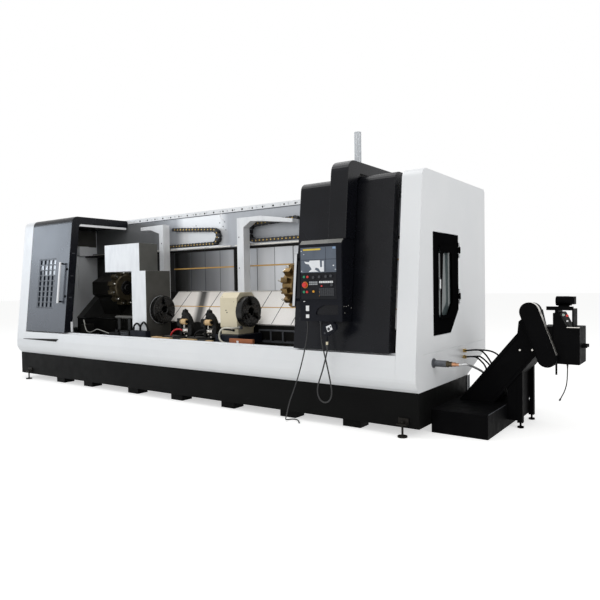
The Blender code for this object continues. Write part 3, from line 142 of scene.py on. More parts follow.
def add_lathe(shape, start, direction, profile, sides=32):
    """A turned form: profile holds (distance along the axis, radius) pairs, closed at both ends."""
    direction = Vector(direction).normalized()
    turn = Matrix.Translation(Vector(start)) @ direction.to_track_quat("Z", "Y").to_matrix().to_4x4()
    angles = [2 * math.pi * step / sides for step in range(sides)]
    rings = [[shape.verts.new(turn @ Vector((radius * math.cos(angle), radius * math.sin(angle), along)))
              for angle in angles] for along, radius in profile]
    for first, second in zip(rings, rings[1:]):
        for step in range(sides):
            after = (step + 1) % sides
            shape.faces.new((first[step], first[after], second[after], second[step]))
    shape.faces.new(rings[0][::-1])
    shape.faces.new(rings[-1])


def ring_at(shape, outline, axis, level):
    """Corners of a flat outline at a level: (y, z) pairs across axis x, (x, z) pairs across axis y."""
    return [shape.verts.new((level, first, second) if axis == "x" else (first, level, second))
            for first, second in outline]


def add_plate(shape, outline, axis, low, high):
    """A flat outline given depth along an axis."""
    near, far = (ring_at(shape, outline, axis, level) for level in (low, high))
    faces = [shape.faces.new(near), shape.faces.new(far[::-1])]
    for step in range(len(outline)):
        after = (step + 1) % len(outline)
        faces.append(shape.faces.new((near[after], near[step], far[step], far[after])))
    bmesh.ops.recalc_face_normals(shape, faces=faces)


def add_ring(shape, outer, inner, axis, low, high):
    """A flat plate with a hole: two outlines with the same number of points, given depth along an axis."""
    loops = [ring_at(shape, outline, axis, level) for outline in (outer, inner) for level in (low, high)]
    faces = []
    for step in range(len(outer)):
        after = (step + 1) % len(outer)
        for one, other in ((0, 1), (1, 3), (3, 2), (2, 0)):
            first, second = loops[one], loops[other]
            faces.append(shape.faces.new((first[step], first[after], second[after], second[step])))
    bmesh.ops.recalc_face_normals(shape, faces=faces)


def arc(centre, radius, start, end, steps):
    """Points on an arc, angles in degrees."""
    angles = [math.radians(start + (end - start) * step / steps) for step in range(steps + 1)]
    return [(centre[0] + radius * math.cos(angle), centre[1] + radius * math.sin(angle)) for angle in angles]


def rounded(corners, radius, steps=4):
    """A convex outline with rounded corners, the same number of points at each corner."""
    points = []
    count = len(corners)
    for index in range(count):
        before, here, after = (Vector(corners[(index + shift) % count]) for shift in (-1, 0, 1))
        first = here + (before - here).normalized() * radius
        last = here + (after - here).normalized() * radius
        for step in range(steps + 1):
            t = step / steps
            points.append(tuple((1 - t) ** 2 * first + 2 * t * (1 - t) * here + t**2 * last))
    return points


def lean_block(shape, x0, x1, z0, z1, out, thick):
    """A thin block on the leaning front; out is how far its outer face stands in front of it."""
    y = front_y((z0 + z1) / 2) - out + thick / 2
    turn = Matrix.Rotation(-math.atan(FRONT_LEAN), 4, "X")
    add_box(shape, (x0, y - thick / 2, z0), (x1, y + thick / 2, z1), turn)


def slant_block(shape, x0, x1, y0, y1, out, thick):
    """A thin block on the slanted way cover, from depth y0 to y1; its length is 1.406 of its depth."""
    middle = (y0 + y1) / 2
    lift = out - thick / 2
    height = SLANT_FOOT[1] + (middle - SLANT_FOOT[0]) * SLANT_RISE + lift * 0.711
    place = Vector(((x0 + x1) / 2, middle - lift * 0.703, height))
    half = Vector(((x1 - x0) / 2, (y1 - y0) / 2 * 1.406, thick / 2))
    add_box(shape, place - half, place + half, Matrix.Rotation(math.atan(SLANT_RISE), 4, "X"))


def place_piece(name, data, look, body):
    """Puts a mesh or curve into the scene with its look and slot, riding on a CAD body."""
    thing = bpy.data.objects.new(name, data)
    bpy.context.scene.collection.objects.link(thing)
    data.materials.append(LOOKS[look])
    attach(thing, body)
    return thing


def piece(name, shape, look, body="machine", bevel=0.0):
    """Closes a shape into an object that rides on a CAD body."""
    mesh = bpy.data.meshes.new(name)
    bmesh.ops.translate(shape, verts=shape.verts, vec=CORNER)
    shape.to_mesh(mesh)
    shape.free()
    mesh.shade_smooth()
    mesh.set_sharp_from_angle(angle=math.radians(35))
    thing = place_piece(name, mesh, look, body)
    if bevel:
        edges = thing.modifiers.new("Rounded edges", "BEVEL")
        edges.width = bevel
        edges.segments = 2
        edges.limit_method = "ANGLE"
        edges.angle_limit = math.radians(30)
        edges.harden_normals = True
    return thing


def form(name, look, add, runs, **more):
    """One piece with the same kind of shape for each run of arguments."""
    shape = bmesh.new()
    for run in runs:
        add(shape, *run)
    return piece(name, shape, look, **more)


def blocks(name, look, boxes, **more):
    """One piece made of plain blocks, each a low and a high corner."""
    return form(name, look, add_box, boxes, **more)


def rods(name, look, runs, **more):
    """One piece made of round bars, each a start, an end, a radius and a number of sides."""
    return form(name, look, add_rod, runs, **more)


def pipe(name, places, radius, look, body="machine"):
    """A round pipe, hose or cable along a list of places."""
    curve = bpy.data.curves.new(name, "CURVE")
    curve.dimensions = "3D"
    curve.bevel_depth = radius
    curve.bevel_resolution = 3
    curve.use_fill_caps = True
    spline = curve.splines.new("POLY")
    spline.points.add(len(places) - 1)
    for point, place in zip(spline.points, places):
        point.co = (*(place + CORNER), 1.0)
    spline.use_smooth = True
    return place_piece(name, curve, look, body)


# Materials


class Finish:
    """A Principled material with procedural variation in object space; colours are screen colours."""

    def __init__(self, name, colour, roughness, metallic=0.0, **sockets):
        self.material = bpy.data.materials.new(name)
        self.material.use_nodes = True
        self.nodes = self.material.node_tree.nodes
        self.join = self.material.node_tree.links.new
        self.shader = self.nodes["Principled BSDF"]
        self.colour = (*srgb(*colour), 1.0)
        self.normal = None
        self.fill(self.shader, Base_Color=self.colour, Roughness=roughness, Metallic=metallic, **sockets)

    def fill(self, node, **inputs):
        for socket, value in inputs.items():
            node.inputs[socket.replace("_", " ")].default_value = value
        return node

    def node(self, kind, **inputs):
        return self.fill(self.nodes.new(f"ShaderNode{kind}"), **inputs)

    def noise(self, scale, detail, stretch):
        mapping = self.node("Mapping", Scale=stretch)
        noise = self.node("TexNoise", Scale=scale, Detail=detail, Roughness=0.5)
        self.join(self.node("TexCoord").outputs["Object"], mapping.inputs["Vector"])
        self.join(mapping.outputs["Vector"], noise.inputs["Vector"])
        return noise.outputs["Fac"]

    def spread(self, value, low, high, start=0.3, end=0.7):
        """Maps start..end of a value to low..high."""
        level = self.node("MapRange", From_Min=start, From_Max=end, To_Min=low, To_Max=high)
        self.join(value, level.inputs["Value"])
        return level.outputs["Result"]

    def blend(self, share, other):
        """Mixes another colour into the colour so far."""
        mix = self.node("Mix")
        mix.data_type = "RGBA"
        base = self.shader.inputs["Base Color"]
        self.join(share, mix.inputs[0])
        if base.links:
            self.join(base.links[0].from_socket, mix.inputs[6])
        else:
            mix.inputs[6].default_value = self.colour
        mix.inputs[7].default_value = (*srgb(*other), 1.0)
        self.join(mix.outputs[2], base)
        return self

    def tint(self, other, scale, amount, stretch=(1, 1, 1)):
        """Blends in another colour in soft patches."""
        return self.blend(self.spread(self.noise(scale, 4.0, stretch), 0.0, amount, 0.4, 0.75), other)

    def gloss(self, low, high, scale, stretch=(1, 1, 1)):
        """Varies the roughness."""
        self.join(self.spread(self.noise(scale, 4.0, stretch), low, high), self.shader.inputs["Roughness"])
        return self

    def bump(self, scale, height):
        node = self.node("Bump", Strength=1.0, Distance=height)
        self.join(self.noise(scale, 2.0, (1, 1, 1)), node.inputs["Height"])
        if self.normal:
            self.join(self.normal, node.inputs["Normal"])
        return self.steer(node)

    def soft_edges(self, radius):
        node = self.node("Bevel", Radius=radius)
        node.samples = 4
        return self.steer(node)

    def steer(self, node):
        self.normal = node.outputs["Normal"]
        self.join(self.normal, self.shader.inputs["Normal"])
        return self

    def fade(self, other, direction, solid, gone, centre=None, amount=1.0):
        """Blends in another colour along a direction, or to both sides of a centre line."""
        along = self.node("VectorMath")
        along.operation = "DOT_PRODUCT"
        along.inputs[1].default_value = direction
        self.join(self.node("TexCoord").outputs["Object"], along.inputs[0])
        value = along.outputs["Value"]
        shift = sum(part * side for part, side in zip(direction, CORNER))
        if centre is None:
            solid, gone = solid + shift, gone + shift
        else:
            for operation, second in (("SUBTRACT", centre + shift), ("ABSOLUTE", 0.0)):
                step = self.node("Math")
                step.operation = operation
                self.join(value, step.inputs[0])
                step.inputs[1].default_value = second
                value = step.outputs[0]
        return self.blend(self.spread(value, amount, 0.0, solid, gone), other)


# Further finishes: record slot, colour, second colour, roughness, metallic, scale of the patches
EXTRA_FINISHES = {
    "dark_iron": ("cast_iron", (17, 17, 16), (30, 29, 27), 0.45, 0.1, 9),
    "rest_iron": ("cast_iron", (46, 46, 44), (66, 64, 60), 0.5, 0.2, 22),
    "dark_cover": ("cream_cover", (20, 20, 19), (31, 29, 25), 0.42, 0.0, 3),
    # Also laid as painted shade on headstock 1's side and on the top of the end wall.
    "olive_sheet": ("grey_paint", (72, 71, 67), (58, 57, 53), 0.5, 0.1, 7),
    "navy_plastic": ("dark_plastic", (22, 26, 36), (16, 19, 27), 0.5, 0.0, 6),
    "control_navy": ("dark_plastic", (12, 14, 21), (16, 18, 26), 0.55, 0.0, 6),
    "key_board": ("dark_plastic", (24, 25, 29), (32, 33, 37), 0.5, 0.0, 30),
    # Laid as painted shade on the side of headstock 1's cover; also used for the control's visor.
    "cover_side": ("grey_paint", (84, 84, 80), (62, 62, 58), 0.5, 0.1, 5),
    "black_rubber": ("cable_rubber", (14, 14, 15), (26, 26, 27), 0.5, 0.0, 30),
    "grey_hose": ("cable_rubber", (150, 150, 144), (118, 118, 112), 0.45, 0.0, 30),
    "white_hose": ("cable_rubber", (206, 204, 192), (176, 172, 158), 0.4, 0.0, 24),
    "red_hose": ("cable_rubber", (196, 30, 36), (160, 24, 28), 0.4, 0.0, 24),
    "braided_hose": ("brushed_steel", (196, 197, 198), (128, 129, 130), 0.35, 0.7, 220),
    "wood": ("cream_paint", (205, 174, 128), (178, 146, 100), 0.6, 0.0, 14),
    "orange_board": ("bronze", (158, 92, 52), (126, 70, 38), 0.6, 0.0, 14),
    "tan_strip": ("bronze", (206, 164, 92), (186, 142, 72), 0.5, 0.0, 8),
    "seam_black": ("cable_rubber", (26, 25, 24), (40, 38, 35), 0.6, 0.0, 12),
    "seam_grey": ("brushed_steel", (84, 87, 92), (66, 69, 73), 0.45, 0.2, 9),
    "satin_silver": ("bright_steel", (214, 211, 205), (190, 187, 181), 0.3, 0.9, 6),
    # Pane colour painted bright as a painted reflection.
    "pane_painted_reflection": ("window_glass", (222, 230, 238), (206, 216, 226), 0.12, 0.0, 8),
    "pane_dark": ("window_glass", (44, 52, 62), (30, 36, 44), 0.12, 0.0, 8),
    "pane_door": ("window_glass", (68, 79, 81), (98, 108, 108), 0.12, 0.0, 3),
    "screen_dark": ("screen_glass", (44, 52, 66), (34, 40, 52), 0.15, 0.0, 20),
    "screen_white": ("screen_glass", (236, 239, 243), (222, 226, 231), 0.15, 0.0, 20),
    "screen_blue": ("screen_glass", (134, 162, 196), (112, 140, 176), 0.15, 0.0, 20),
    "screen_gold": ("screen_glass", (216, 190, 70), (196, 168, 52), 0.15, 0.0, 20),
    "key_dark": ("dark_plastic", (40, 42, 47), (52, 54, 60), 0.45, 0.0, 60),
    "key_grey": ("white_plastic", (158, 162, 166), (138, 142, 146), 0.45, 0.0, 60),
    "button_red": ("dark_plastic", (214, 50, 44), (186, 38, 34), 0.35, 0.0, 40),
    "button_green": ("dark_plastic", (36, 150, 104), (26, 122, 84), 0.35, 0.0, 40),
    "button_amber": ("dark_plastic", (226, 160, 44), (200, 136, 30), 0.35, 0.0, 40),
    "orange_gland": ("dark_plastic", (214, 132, 34), (184, 108, 24), 0.45, 0.0, 40),
    "copper": ("bronze", (196, 146, 112), (150, 108, 80), 0.35, 0.7, 40),
    "brass": ("bronze", (196, 164, 96), (150, 120, 66), 0.3, 0.9, 30),
    "fitting_grey": ("brushed_steel", (96, 99, 104), (76, 79, 84), 0.42, 0.5, 30),
    "foot_steel": ("brushed_steel", (36, 34, 31), (24, 23, 21), 0.5, 0.3, 30),
    "tool_steel": ("bright_steel", (188, 186, 180), (130, 127, 118), 0.22, 0.9, 26),
    "dark_bronze": ("bronze", (74, 66, 48), (36, 32, 25), 0.4, 0.55, 12),
}
# Stretch of the patch noise, for the grain of brushed sheet
GRAIN_X = (1, 1, 0.1)


def make_finishes():
    made = {
        "white_paint": Finish("white_enamel", (236, 238, 240), 0.32).soft_edges(0.004)
        .tint((226, 229, 232), 1.3, 0.6).gloss(0.28, 0.38, 6).bump(900, 0.00003),
        "black_paint": Finish("black_enamel", (11, 12, 17), 0.26, Specular_IOR_Level=0.2).soft_edges(0.004)
        .tint((22, 25, 33), 1.1, 0.7).gloss(0.22, 0.32, 5).bump(900, 0.00003),
        "base_black": Finish("base_black_paint", (10, 10, 10), 0.45, Specular_IOR_Level=0.05)
        .soft_edges(0.004).tint((18, 19, 18), 2, 0.6).gloss(0.38, 0.55, 8).bump(450, 0.0001),
        "grey_paint": Finish("brushed_grey_sheet", (228, 230, 232), 0.42, 0.2).soft_edges(0.003)
        .tint((210, 212, 215), 14, 0.6, (1, 1, 0.3)).gloss(0.36, 0.5, 60, (1, 1, 0.2)).bump(900, 0.00003),
        # Upper panel sheet with painted light and shade: the lighter band around x 2.92 is painted light, and
        # the fade to grey below x 2.4 is the hood's shadow painted on.
        "panel_painted_light_and_shade": Finish("upper_panel_sheet", (176, 179, 184), 0.42, 0.35).soft_edges(0.003)
        .tint((160, 163, 168), 5, 0.5, (1, 1, 0.3)).fade((238, 240, 242), (1, 0, 0), 0.36, 0.52, 2.92)
        .fade((118, 120, 122), (1, 0, 0), 1.9, 2.40).gloss(0.36, 0.5, 40),
        "cream_paint": Finish("beige_enamel", (222, 212, 184), 0.38).soft_edges(0.004)
        .tint((206, 195, 165), 5, 0.5).gloss(0.32, 0.46, 9).bump(700, 0.00006),
        "cream_cover": Finish("cream_way_cover", (252, 250, 247), 0.34)
        .tint((240, 235, 229), 1.6, 0.5).tint((222, 217, 210), 45, 0.2)
        # Painted shade: darker towards the left, fading out by x 4.6.
        .fade((226, 219, 211), (1, 0, 0), 3.2, 4.6, None, 0.6)
        # Painted dark reflection: a soft dark band slanting across the cover near x 3.
        .fade((22, 21, 19), (1, 0.66, 0), 0.03, 0.125, 3.685, 0.94)
        .fade((20, 20, 19), (1, 0, 0), 2.43, 2.431).gloss(0.28, 0.4, 6),
        "brushed_steel": Finish("brushed_steel_sheet", (150, 154, 160), 0.38, 0.6).soft_edges(0.002)
        .tint((126, 130, 137), 5, 0.5, GRAIN_X).gloss(0.32, 0.44, 40, GRAIN_X),
        "bright_steel": Finish("polished_steel", (205, 207, 210), 0.16, 1.0)
        .tint((170, 172, 175), 9, 0.4).gloss(0.1, 0.24, 20),
        "cast_iron": Finish("oiled_iron", (52, 53, 53), 0.5, 0.35).soft_edges(0.004)
        .tint((36, 35, 33), 4, 0.8).tint((74, 66, 52), 14, 0.3).gloss(0.36, 0.62, 12).bump(260, 0.0002),
        "chuck_steel": Finish("blackened_steel", (22, 22, 22), 0.24, 0.5).soft_edges(0.002)
        .tint((36, 35, 33), 9, 0.6).gloss(0.16, 0.34, 24).bump(500, 0.00004),
        "bronze": Finish("bronze_tool_holder", (128, 104, 66), 0.38, 0.85).soft_edges(0.003)
        .tint((70, 58, 40), 12, 0.8).gloss(0.28, 0.5, 20).bump(300, 0.0001),
        "window_glass": Finish("tinted_window", (120, 132, 142), 0.05, Transmission_Weight=0.75, IOR=1.5)
        .gloss(0.03, 0.08, 3),
        "screen_glass": Finish("display_glass", (88, 98, 112), 0.08)
        .tint((60, 68, 80), 6, 0.7).gloss(0.05, 0.12, 4),
        "dark_plastic": Finish("black_moulded_plastic", (24, 24, 26), 0.48).soft_edges(0.002)
        .tint((38, 38, 40), 8, 0.5).gloss(0.42, 0.58, 30).bump(1100, 0.00004),
        "white_plastic": Finish("white_gloss_plastic", (236, 237, 238), 0.22)
        .tint((226, 228, 230), 6, 0.5).gloss(0.18, 0.28, 10),
        "clear_plastic": Finish("lamp_lens", (214, 218, 222), 0.18, Transmission_Weight=0.35, IOR=1.45)
        .tint((196, 201, 207), 20, 0.5).gloss(0.12, 0.25, 30),
        "cable_rubber": Finish("cable_sheath", (22, 22, 23), 0.55)
        .tint((36, 36, 37), 30, 0.5).gloss(0.48, 0.65, 60),
        "slate_paint": Finish("slate_enamel", (36, 41, 52), 0.24, Specular_IOR_Level=0.42)
        .soft_edges(0.004).tint((45, 52, 66), 0.9, 0.5).gloss(0.21, 0.29, 2),
        "door_paint": Finish("matt_black_enamel", (10, 10, 11), 0.6, Specular_IOR_Level=0.0)
        .soft_edges(0.003).tint((15, 15, 16), 2, 0.5).gloss(0.55, 0.65, 8),
        "conveyor_paint": Finish("conveyor_black", (7, 7, 8), 0.55, Specular_IOR_Level=0.03)
        .soft_edges(0.003).tint((15, 15, 16), 5, 0.5).gloss(0.5, 0.65, 14).bump(300, 0.0001),
        # Painted reflection: the left sheets are a darker copy of the right sheets' steel and fade to near
        # black towards the left, as the dark hood reflected in them.
        "sheet_left": Finish("telescopic_sheet_left_painted_reflection", (170, 172, 176), 0.42, 0.35)
        .tint((136, 139, 145), 2.2, 0.7, (1, 1, 0.12)).tint((196, 198, 202), 3.1, 0.5, GRAIN_X)
        .fade((22, 22, 22), (1, 0, 0), 2.62, 3.48).gloss(0.36, 0.5, 30, GRAIN_X),
        "sheet_right": Finish("telescopic_sheet_right", (208, 210, 214), 0.40, 0.35)
        .tint((176, 179, 185), 2.2, 0.7, (1, 1, 0.12)).tint((226, 228, 231), 3.1, 0.5, GRAIN_X)
        .gloss(0.34, 0.48, 30, GRAIN_X),
        "brass_pin": Finish("brass_pin", (196, 164, 96), 0.3, 0.9)
        .tint((150, 120, 66), 30, 0.5).gloss(0.22, 0.4, 40),
    }
    for name, (slot, colour, other, roughness, metallic, scale) in EXTRA_FINISHES.items():
        shine = 0.5 if max(colour) > 40 else 0.12
        made[name] = Finish(name, colour, roughness, metallic, Specular_IOR_Level=shine)
        made[name].tint(other, scale, 0.6).gloss(max(0.02, roughness - 0.05), roughness + 0.05, scale * 1.5)
    return {name: finish.material for name, finish in made.items()}


LOOKS = make_finishes()


def dress_nodes():
    """Gives each CAD node the finish of its slot, or its own where one slot covers several looks."""
    own = {"end_door": "door_paint", "end_door_glass": "pane_door", "upper_panel": "panel_painted_light_and_shade",
           "slant_bed": "dark_iron", "lower_bed": "dark_iron", "cover_frame": "dark_iron",
           "turret_1_body": "dark_iron", "turret_2_body": "dark_iron", "headstock_2_saddle": "navy_plastic"}
    for row in frame["record"]["subparts"]:
        node = frame["nodes"][row["node"]]
        look = own.get(row["node"], row["material_slot"])
        if row["node"].startswith("levelling_foot"):
            look = "foot_steel"
        elif look == "base_black" and row["node"] != "base_tray":
            look = "conveyor_paint"
        node.data.materials.clear()
        node.data.materials.append(LOOKS[look])


# Camera, light and ground


def make_camera():
    across = Vector((math.cos(CAMERA_YAW), math.sin(CAMERA_YAW), 0.0))
    ahead = Vector((-math.sin(CAMERA_YAW) * math.cos(CAMERA_PITCH),
                    math.cos(CAMERA_YAW) * math.cos(CAMERA_PITCH), -math.sin(CAMERA_PITCH)))
    down = ahead.cross(across)
    cosine, sine = math.cos(CAMERA_ROLL), math.sin(CAMERA_ROLL)
    right = across * cosine - down * sine
    below = across * sine + down * cosine
    turn = Matrix((right, -below, -ahead)).transposed().to_4x4()
    camera = bpy.data.objects.new("camera", bpy.data.cameras.new("camera"))
    camera.data.lens = CAMERA_LENS
    camera.data.sensor_width = SENSOR_WIDTH
    camera.data.clip_end = 200
    camera.matrix_world = Matrix.Translation(CAMERA_PLACE + CORNER) @ turn
    bpy.context.scene.collection.objects.link(camera)
    bpy.context.scene.camera = camera


def softbox(name, place, target, width, height, radiance, colour=(1.0, 1.0, 1.0)):
    """A rectangular lamp of a given brightness, facing a target."""
    light = bpy.data.lights.new(name, "AREA")
    light.shape = "RECTANGLE"
    light.size = width
    light.size_y = height
    light.energy = radiance * width * height * math.pi
    light.color = colour
    lamp = bpy.data.objects.new(name, light)
    place, target = Vector(place) + CORNER, Vector(target) + CORNER
    turn = (target - place).to_track_quat("-Z", "Y").to_matrix().to_4x4()
    lamp.matrix_world = Matrix.Translation(place) @ turn
    bpy.context.scene.collection.objects.link(lamp)


def mix_seen(tree, lit, seen, output):
    """Lets the camera, gloss and glass see one shader, while another one lights the machine."""
    nodes, links = tree.nodes, tree.links
    path = nodes.new("ShaderNodeLightPath")
    largest = path.outputs["Is Camera Ray"]
    for kind in ("Is Glossy Ray", "Is Transmission Ray"):
        either = nodes.new("ShaderNodeMath")
        either.operation = "MAXIMUM"
        links.new(largest, either.inputs[0])
        links.new(path.outputs[kind], either.inputs[1])
        largest = either.outputs[0]
    mix = nodes.new("ShaderNodeMixShader")
    for source, socket in zip((largest, lit.outputs[0], seen.outputs[0]), mix.inputs):
        links.new(source, socket)
    links.new(mix.outputs[0], nodes.new(output).inputs[0])


def make_world():
    world = bpy.data.worlds.new("studio")
    world.use_nodes = True
    bpy.context.scene.world = world
    bpy.context.scene.view_settings.view_transform = "Standard"
    nodes = world.node_tree.nodes
    nodes.clear()
    lit, seen = (nodes.new("ShaderNodeBackground") for _ in range(2))
    for node, strength in ((lit, 0.5), (seen, 1.0)):
        node.inputs["Color"].default_value = (1.0, 1.0, 1.0, 1.0)
        node.inputs["Strength"].default_value = strength
    mix_seen(world.node_tree, lit, seen, "ShaderNodeOutputWorld")


def make_floor():
    """A pale floor that reads as white to the camera but keeps the machine's shadow."""
    shape = bmesh.new()
    bmesh.ops.create_grid(shape, x_segments=1, y_segments=1, size=60.0)
    mesh = bpy.data.meshes.new("floor")
    shape.to_mesh(mesh)
    shape.free()
    floor = bpy.data.objects.new("floor", mesh)
    floor.location.z = -0.001
    bpy.context.scene.collection.objects.link(floor)
    look = bpy.data.materials.new("pale_floor")
    look.use_nodes = True
    nodes, links = look.node_tree.nodes, look.node_tree.links
    nodes.clear()
    diffuse = nodes.new("ShaderNodeBsdfDiffuse")
    diffuse.inputs["Color"].default_value = (0.8, 0.8, 0.79, 1.0)
    glow = nodes.new("ShaderNodeEmission")
    glow.inputs["Strength"].default_value = 0.55
    both = nodes.new("ShaderNodeAddShader")
    links.new(diffuse.outputs[0], both.inputs[0])
    links.new(glow.outputs[0], both.inputs[1])
    mix_seen(look.node_tree, diffuse, both, "ShaderNodeOutputMaterial")
    mesh.materials.append(look)


def make_lights():
    softbox("left_front_upper", (-9.6, -5.9, 4.3), (1.5, 0.0, 1.6), 6.0, 2.2, 4.6, (0.78, 0.88, 1.0))
    softbox("left_front_lower", (-9.6, -5.9, 2.0), (1.5, 0.0, 1.6), 6.0, 2.2, 1.7, (0.78, 0.88, 1.0))
    softbox("overhead", (2.6, 0.0, 7.0), (3.6, 0.6, 0.8), 6.5, 4.0, 2.35)
    softbox("right_side", (13.5, -2.0, 4.5), (6.7, 0.8, 1.2), 4.0, 4.0, 3.1)
    softbox("front_fill", (5.5, -9.0, 4.5), (4.0, 0.0, 1.4), 5.0, 3.0, 3.0, (1.0, 0.99, 0.97))


# Free cables


def cord_ends(name, places, radius, plug_radius=0.0, plug_length=0.0):
    """Tapered, ribbed strain relief at a cord's exit and, where it has one, the connector at its end."""
    steps = [(0.0, 2.1), (0.006, 2.1), (0.007, 1.7), (0.016, 1.6), (0.017, 1.45), (0.020, 1.5), (0.021, 1.35),
             (0.026, 1.4), (0.027, 1.25), (0.040, 1.08)]
    profile = [(along, radius * share) for along, share in steps]
    exit_run = (places[4] - places[0]).normalized()
    made = [form(f"{name}_strain_relief", "dark_plastic", add_lathe, [(places[0], exit_run, profile, 24)])]
    if plug_radius:
        run = (places[-1] - places[-3]).normalized()
        back = places[-1] - run * (plug_length - 0.012)
        sleeve = [(0.0, radius * 1.02), (0.010, radius * 1.15), (0.012, plug_radius * 0.92),
                  (0.020, plug_radius), (plug_length - 0.014, plug_radius),
                  (plug_length - 0.012, plug_radius * 0.9), (plug_length - 0.006, plug_radius * 0.9)]
        ring = [(0.0, plug_radius * 0.72), (0.0055, plug_radius * 0.72), (0.0065, plug_radius * 0.62)]
        made.append(form(f"{name}_connector", "dark_plastic", add_lathe, [(back, run, sleeve, 24)]))
        made.append(form(f"{name}_contact_ring", "bright_steel", add_lathe,
                         [(back + run * (plug_length - 0.0065), run, ring, 24)]))
    return made


def loose_cable(name, route, count, radius, far_end, *plug):
    places = smooth_route(route, count)
    ends = cord_ends(name, places, radius, *plug)
    if far_end == "object":
        ends += cord_ends(f"{name}_return", places[::-1], radius)
    cable = pipe(f"{name}_sheath", places, radius, "cable_rubber")
    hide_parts(name)


def free_cables():
    """The cable to the floor, the hand unit's loop and the lead under the conveyor's cabinet."""
    front, under = -0.20, span("control_box")[0].z
    unit, cabinet = 0.82, 0.636 - SEAT
    loose_cable("floor_cable", [
        (5.62, front + 0.06, under - SEAT), (5.62, front + 0.06, under - 0.03),
        (5.62, front + 0.06, under - 0.06), (5.614, front + 0.045, 0.86), (5.585, front + 0.010, 0.66),
        (5.520, front, 0.45), (5.440, front - 0.002, 0.26), (5.405, front + 0.002, 0.17),
        (5.366, front + 0.024, 0.085), (5.322, front + 0.066, 0.030), (5.300, front + 0.122, 0.0095),
        (5.332, front + 0.174, 0.0085), (5.392, front + 0.170, 0.0085), (5.440, front + 0.128, 0.0085),
        (5.490, front + 0.070, 0.0085)], 100, 0.006, "connector", 0.0082, 0.055)
    loose_cable("handwheel_cable", [
        (5.88, front, unit - SEAT), (5.88, front, unit - 0.03), (5.88, front, unit - 0.06),
        (5.84, front - 0.01, 0.60), (5.785, front - 0.015, 0.44), (5.775, front - 0.015, 0.36),
        (5.80, front - 0.014, 0.295), (5.853, front - 0.010, 0.270), (5.905, front - 0.004, 0.298),
        (5.925, front, 0.365), (5.905, front + 0.010, 0.47), (5.85, front + 0.025, 0.66),
        (5.79, front + 0.045, 0.84), (5.77, front + 0.065, under - 0.06), (5.77, front + 0.065, under - 0.03),
        (5.77, front + 0.065, under - SEAT)], 120, 0.007, "object")
    loose_cable("conveyor_lead", [
        (7.772, 0.90, cabinet), (7.772, 0.90, cabinet - 0.03), (7.772, 0.90, cabinet - 0.06),
        (7.769, 0.90, 0.50), (7.762, 0.90, 0.44), (7.745, 0.90, 0.38), (7.722, 0.90, 0.33),
        (7.706, 0.90, 0.297)], 30, 0.005, "connector", 0.0085, 0.035)


# Energy chains: faces of the outer links, pin spacing and half a link's height

CHAIN_FRONT = 1.012
CHAIN_BACK = 1.088
CHAIN_PITCH = 0.062
CHAIN_HALF = 0.0265


def chain_path(bend, upper_end, lower_end, ledge, radius, rise):
    """Pin places and run directions along a chain, from its lower end round to its rising upper end."""
    middle = ledge + radius + 0.0275
    turn = 1.0 if upper_end < bend else -1.0
    lower_run, upper_run = abs(bend - lower_end), abs(bend - upper_end)
    half_turn = math.pi * radius
    total = lower_run + half_turn + upper_run
    count = int(total / CHAIN_PITCH) + 1
    places = []
    for index in range(count):
        along = (index + 0.5) * total / count
        if along < lower_run:
            place = (lower_end + turn * along, middle - radius)
            angle = 0.0
        elif along < lower_run + half_turn:
            angle = (along - lower_run) / radius
            place = (bend + turn * radius * math.sin(angle), middle - radius * math.cos(angle))
        else:
            left = along - lower_run - half_turn
            place = (bend - turn * left, middle + radius + rise * left / upper_run)
            angle = math.pi - math.atan2(rise, upper_run)
        places.append((place, angle if turn > 0 else math.pi - angle))
    return places


def link_outline(place, angle, half_length, half_height):
    """A link's side plate with rounded ends, as (x, z) points."""
    points = []
    for sign in (1, -1):
        for step in range(7):
            swing = math.radians(-90 + 30 * step)
            reach = sign * (half_length - half_height + half_height * math.cos(swing))
            rise = sign * half_height * math.sin(swing)
            points.append((place[0] + reach * math.cos(angle) - rise * math.sin(angle),
                           place[1] + reach * math.sin(angle) + rise * math.cos(angle)))
    return points


def energy_chain(number, *path):
    name = f"energy_chain_{number}"
    bend, upper_end, lower_end, radius, rise = path
    places = chain_path(bend, upper_end, lower_end, span(name)[0].z, radius, rise)
    links, bars, pins = bmesh.new(), bmesh.new(), bmesh.new()
    for index, (place, angle) in enumerate(places):
        sunk = 0.006 if index % 2 else 0.0
        outline = link_outline(place, angle, CHAIN_PITCH * 0.62, CHAIN_HALF)
        add_plate(links, outline, "y", CHAIN_FRONT + sunk, CHAIN_FRONT + sunk + 0.007)
        add_plate(links, outline, "y", CHAIN_BACK - sunk - 0.007, CHAIN_BACK - sunk)
        core = link_outline(place, angle, CHAIN_PITCH * 0.36, CHAIN_HALF * 0.86)
        add_plate(bars, core, "y", CHAIN_FRONT + 0.012, CHAIN_BACK - 0.012)
        pin = Vector(place) - Vector((math.cos(angle), math.sin(angle))) * CHAIN_PITCH / 2
        add_rod(pins, (pin.x, CHAIN_FRONT - 0.0015, pin.y), (pin.x, CHAIN_FRONT + 0.012, pin.y), 0.0095, 12)
    body = piece(f"{name}_links", links, "dark_plastic", bevel=0.001)
    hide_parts(name)
    piece(f"{name}_crossbars", bars, "dark_plastic")
    piece(f"{name}_pins", pins, "brass_pin")


# Turrets

TURRET_Y = 0.72
TURRET_Z = 1.385
TURRET_RADIUS = 0.20
TOOL_REACH = 0.262
DISC_DEPTH = 0.16


def placed(shape, made, matrix):
    bmesh.ops.transform(shape, verts=made, matrix=matrix)


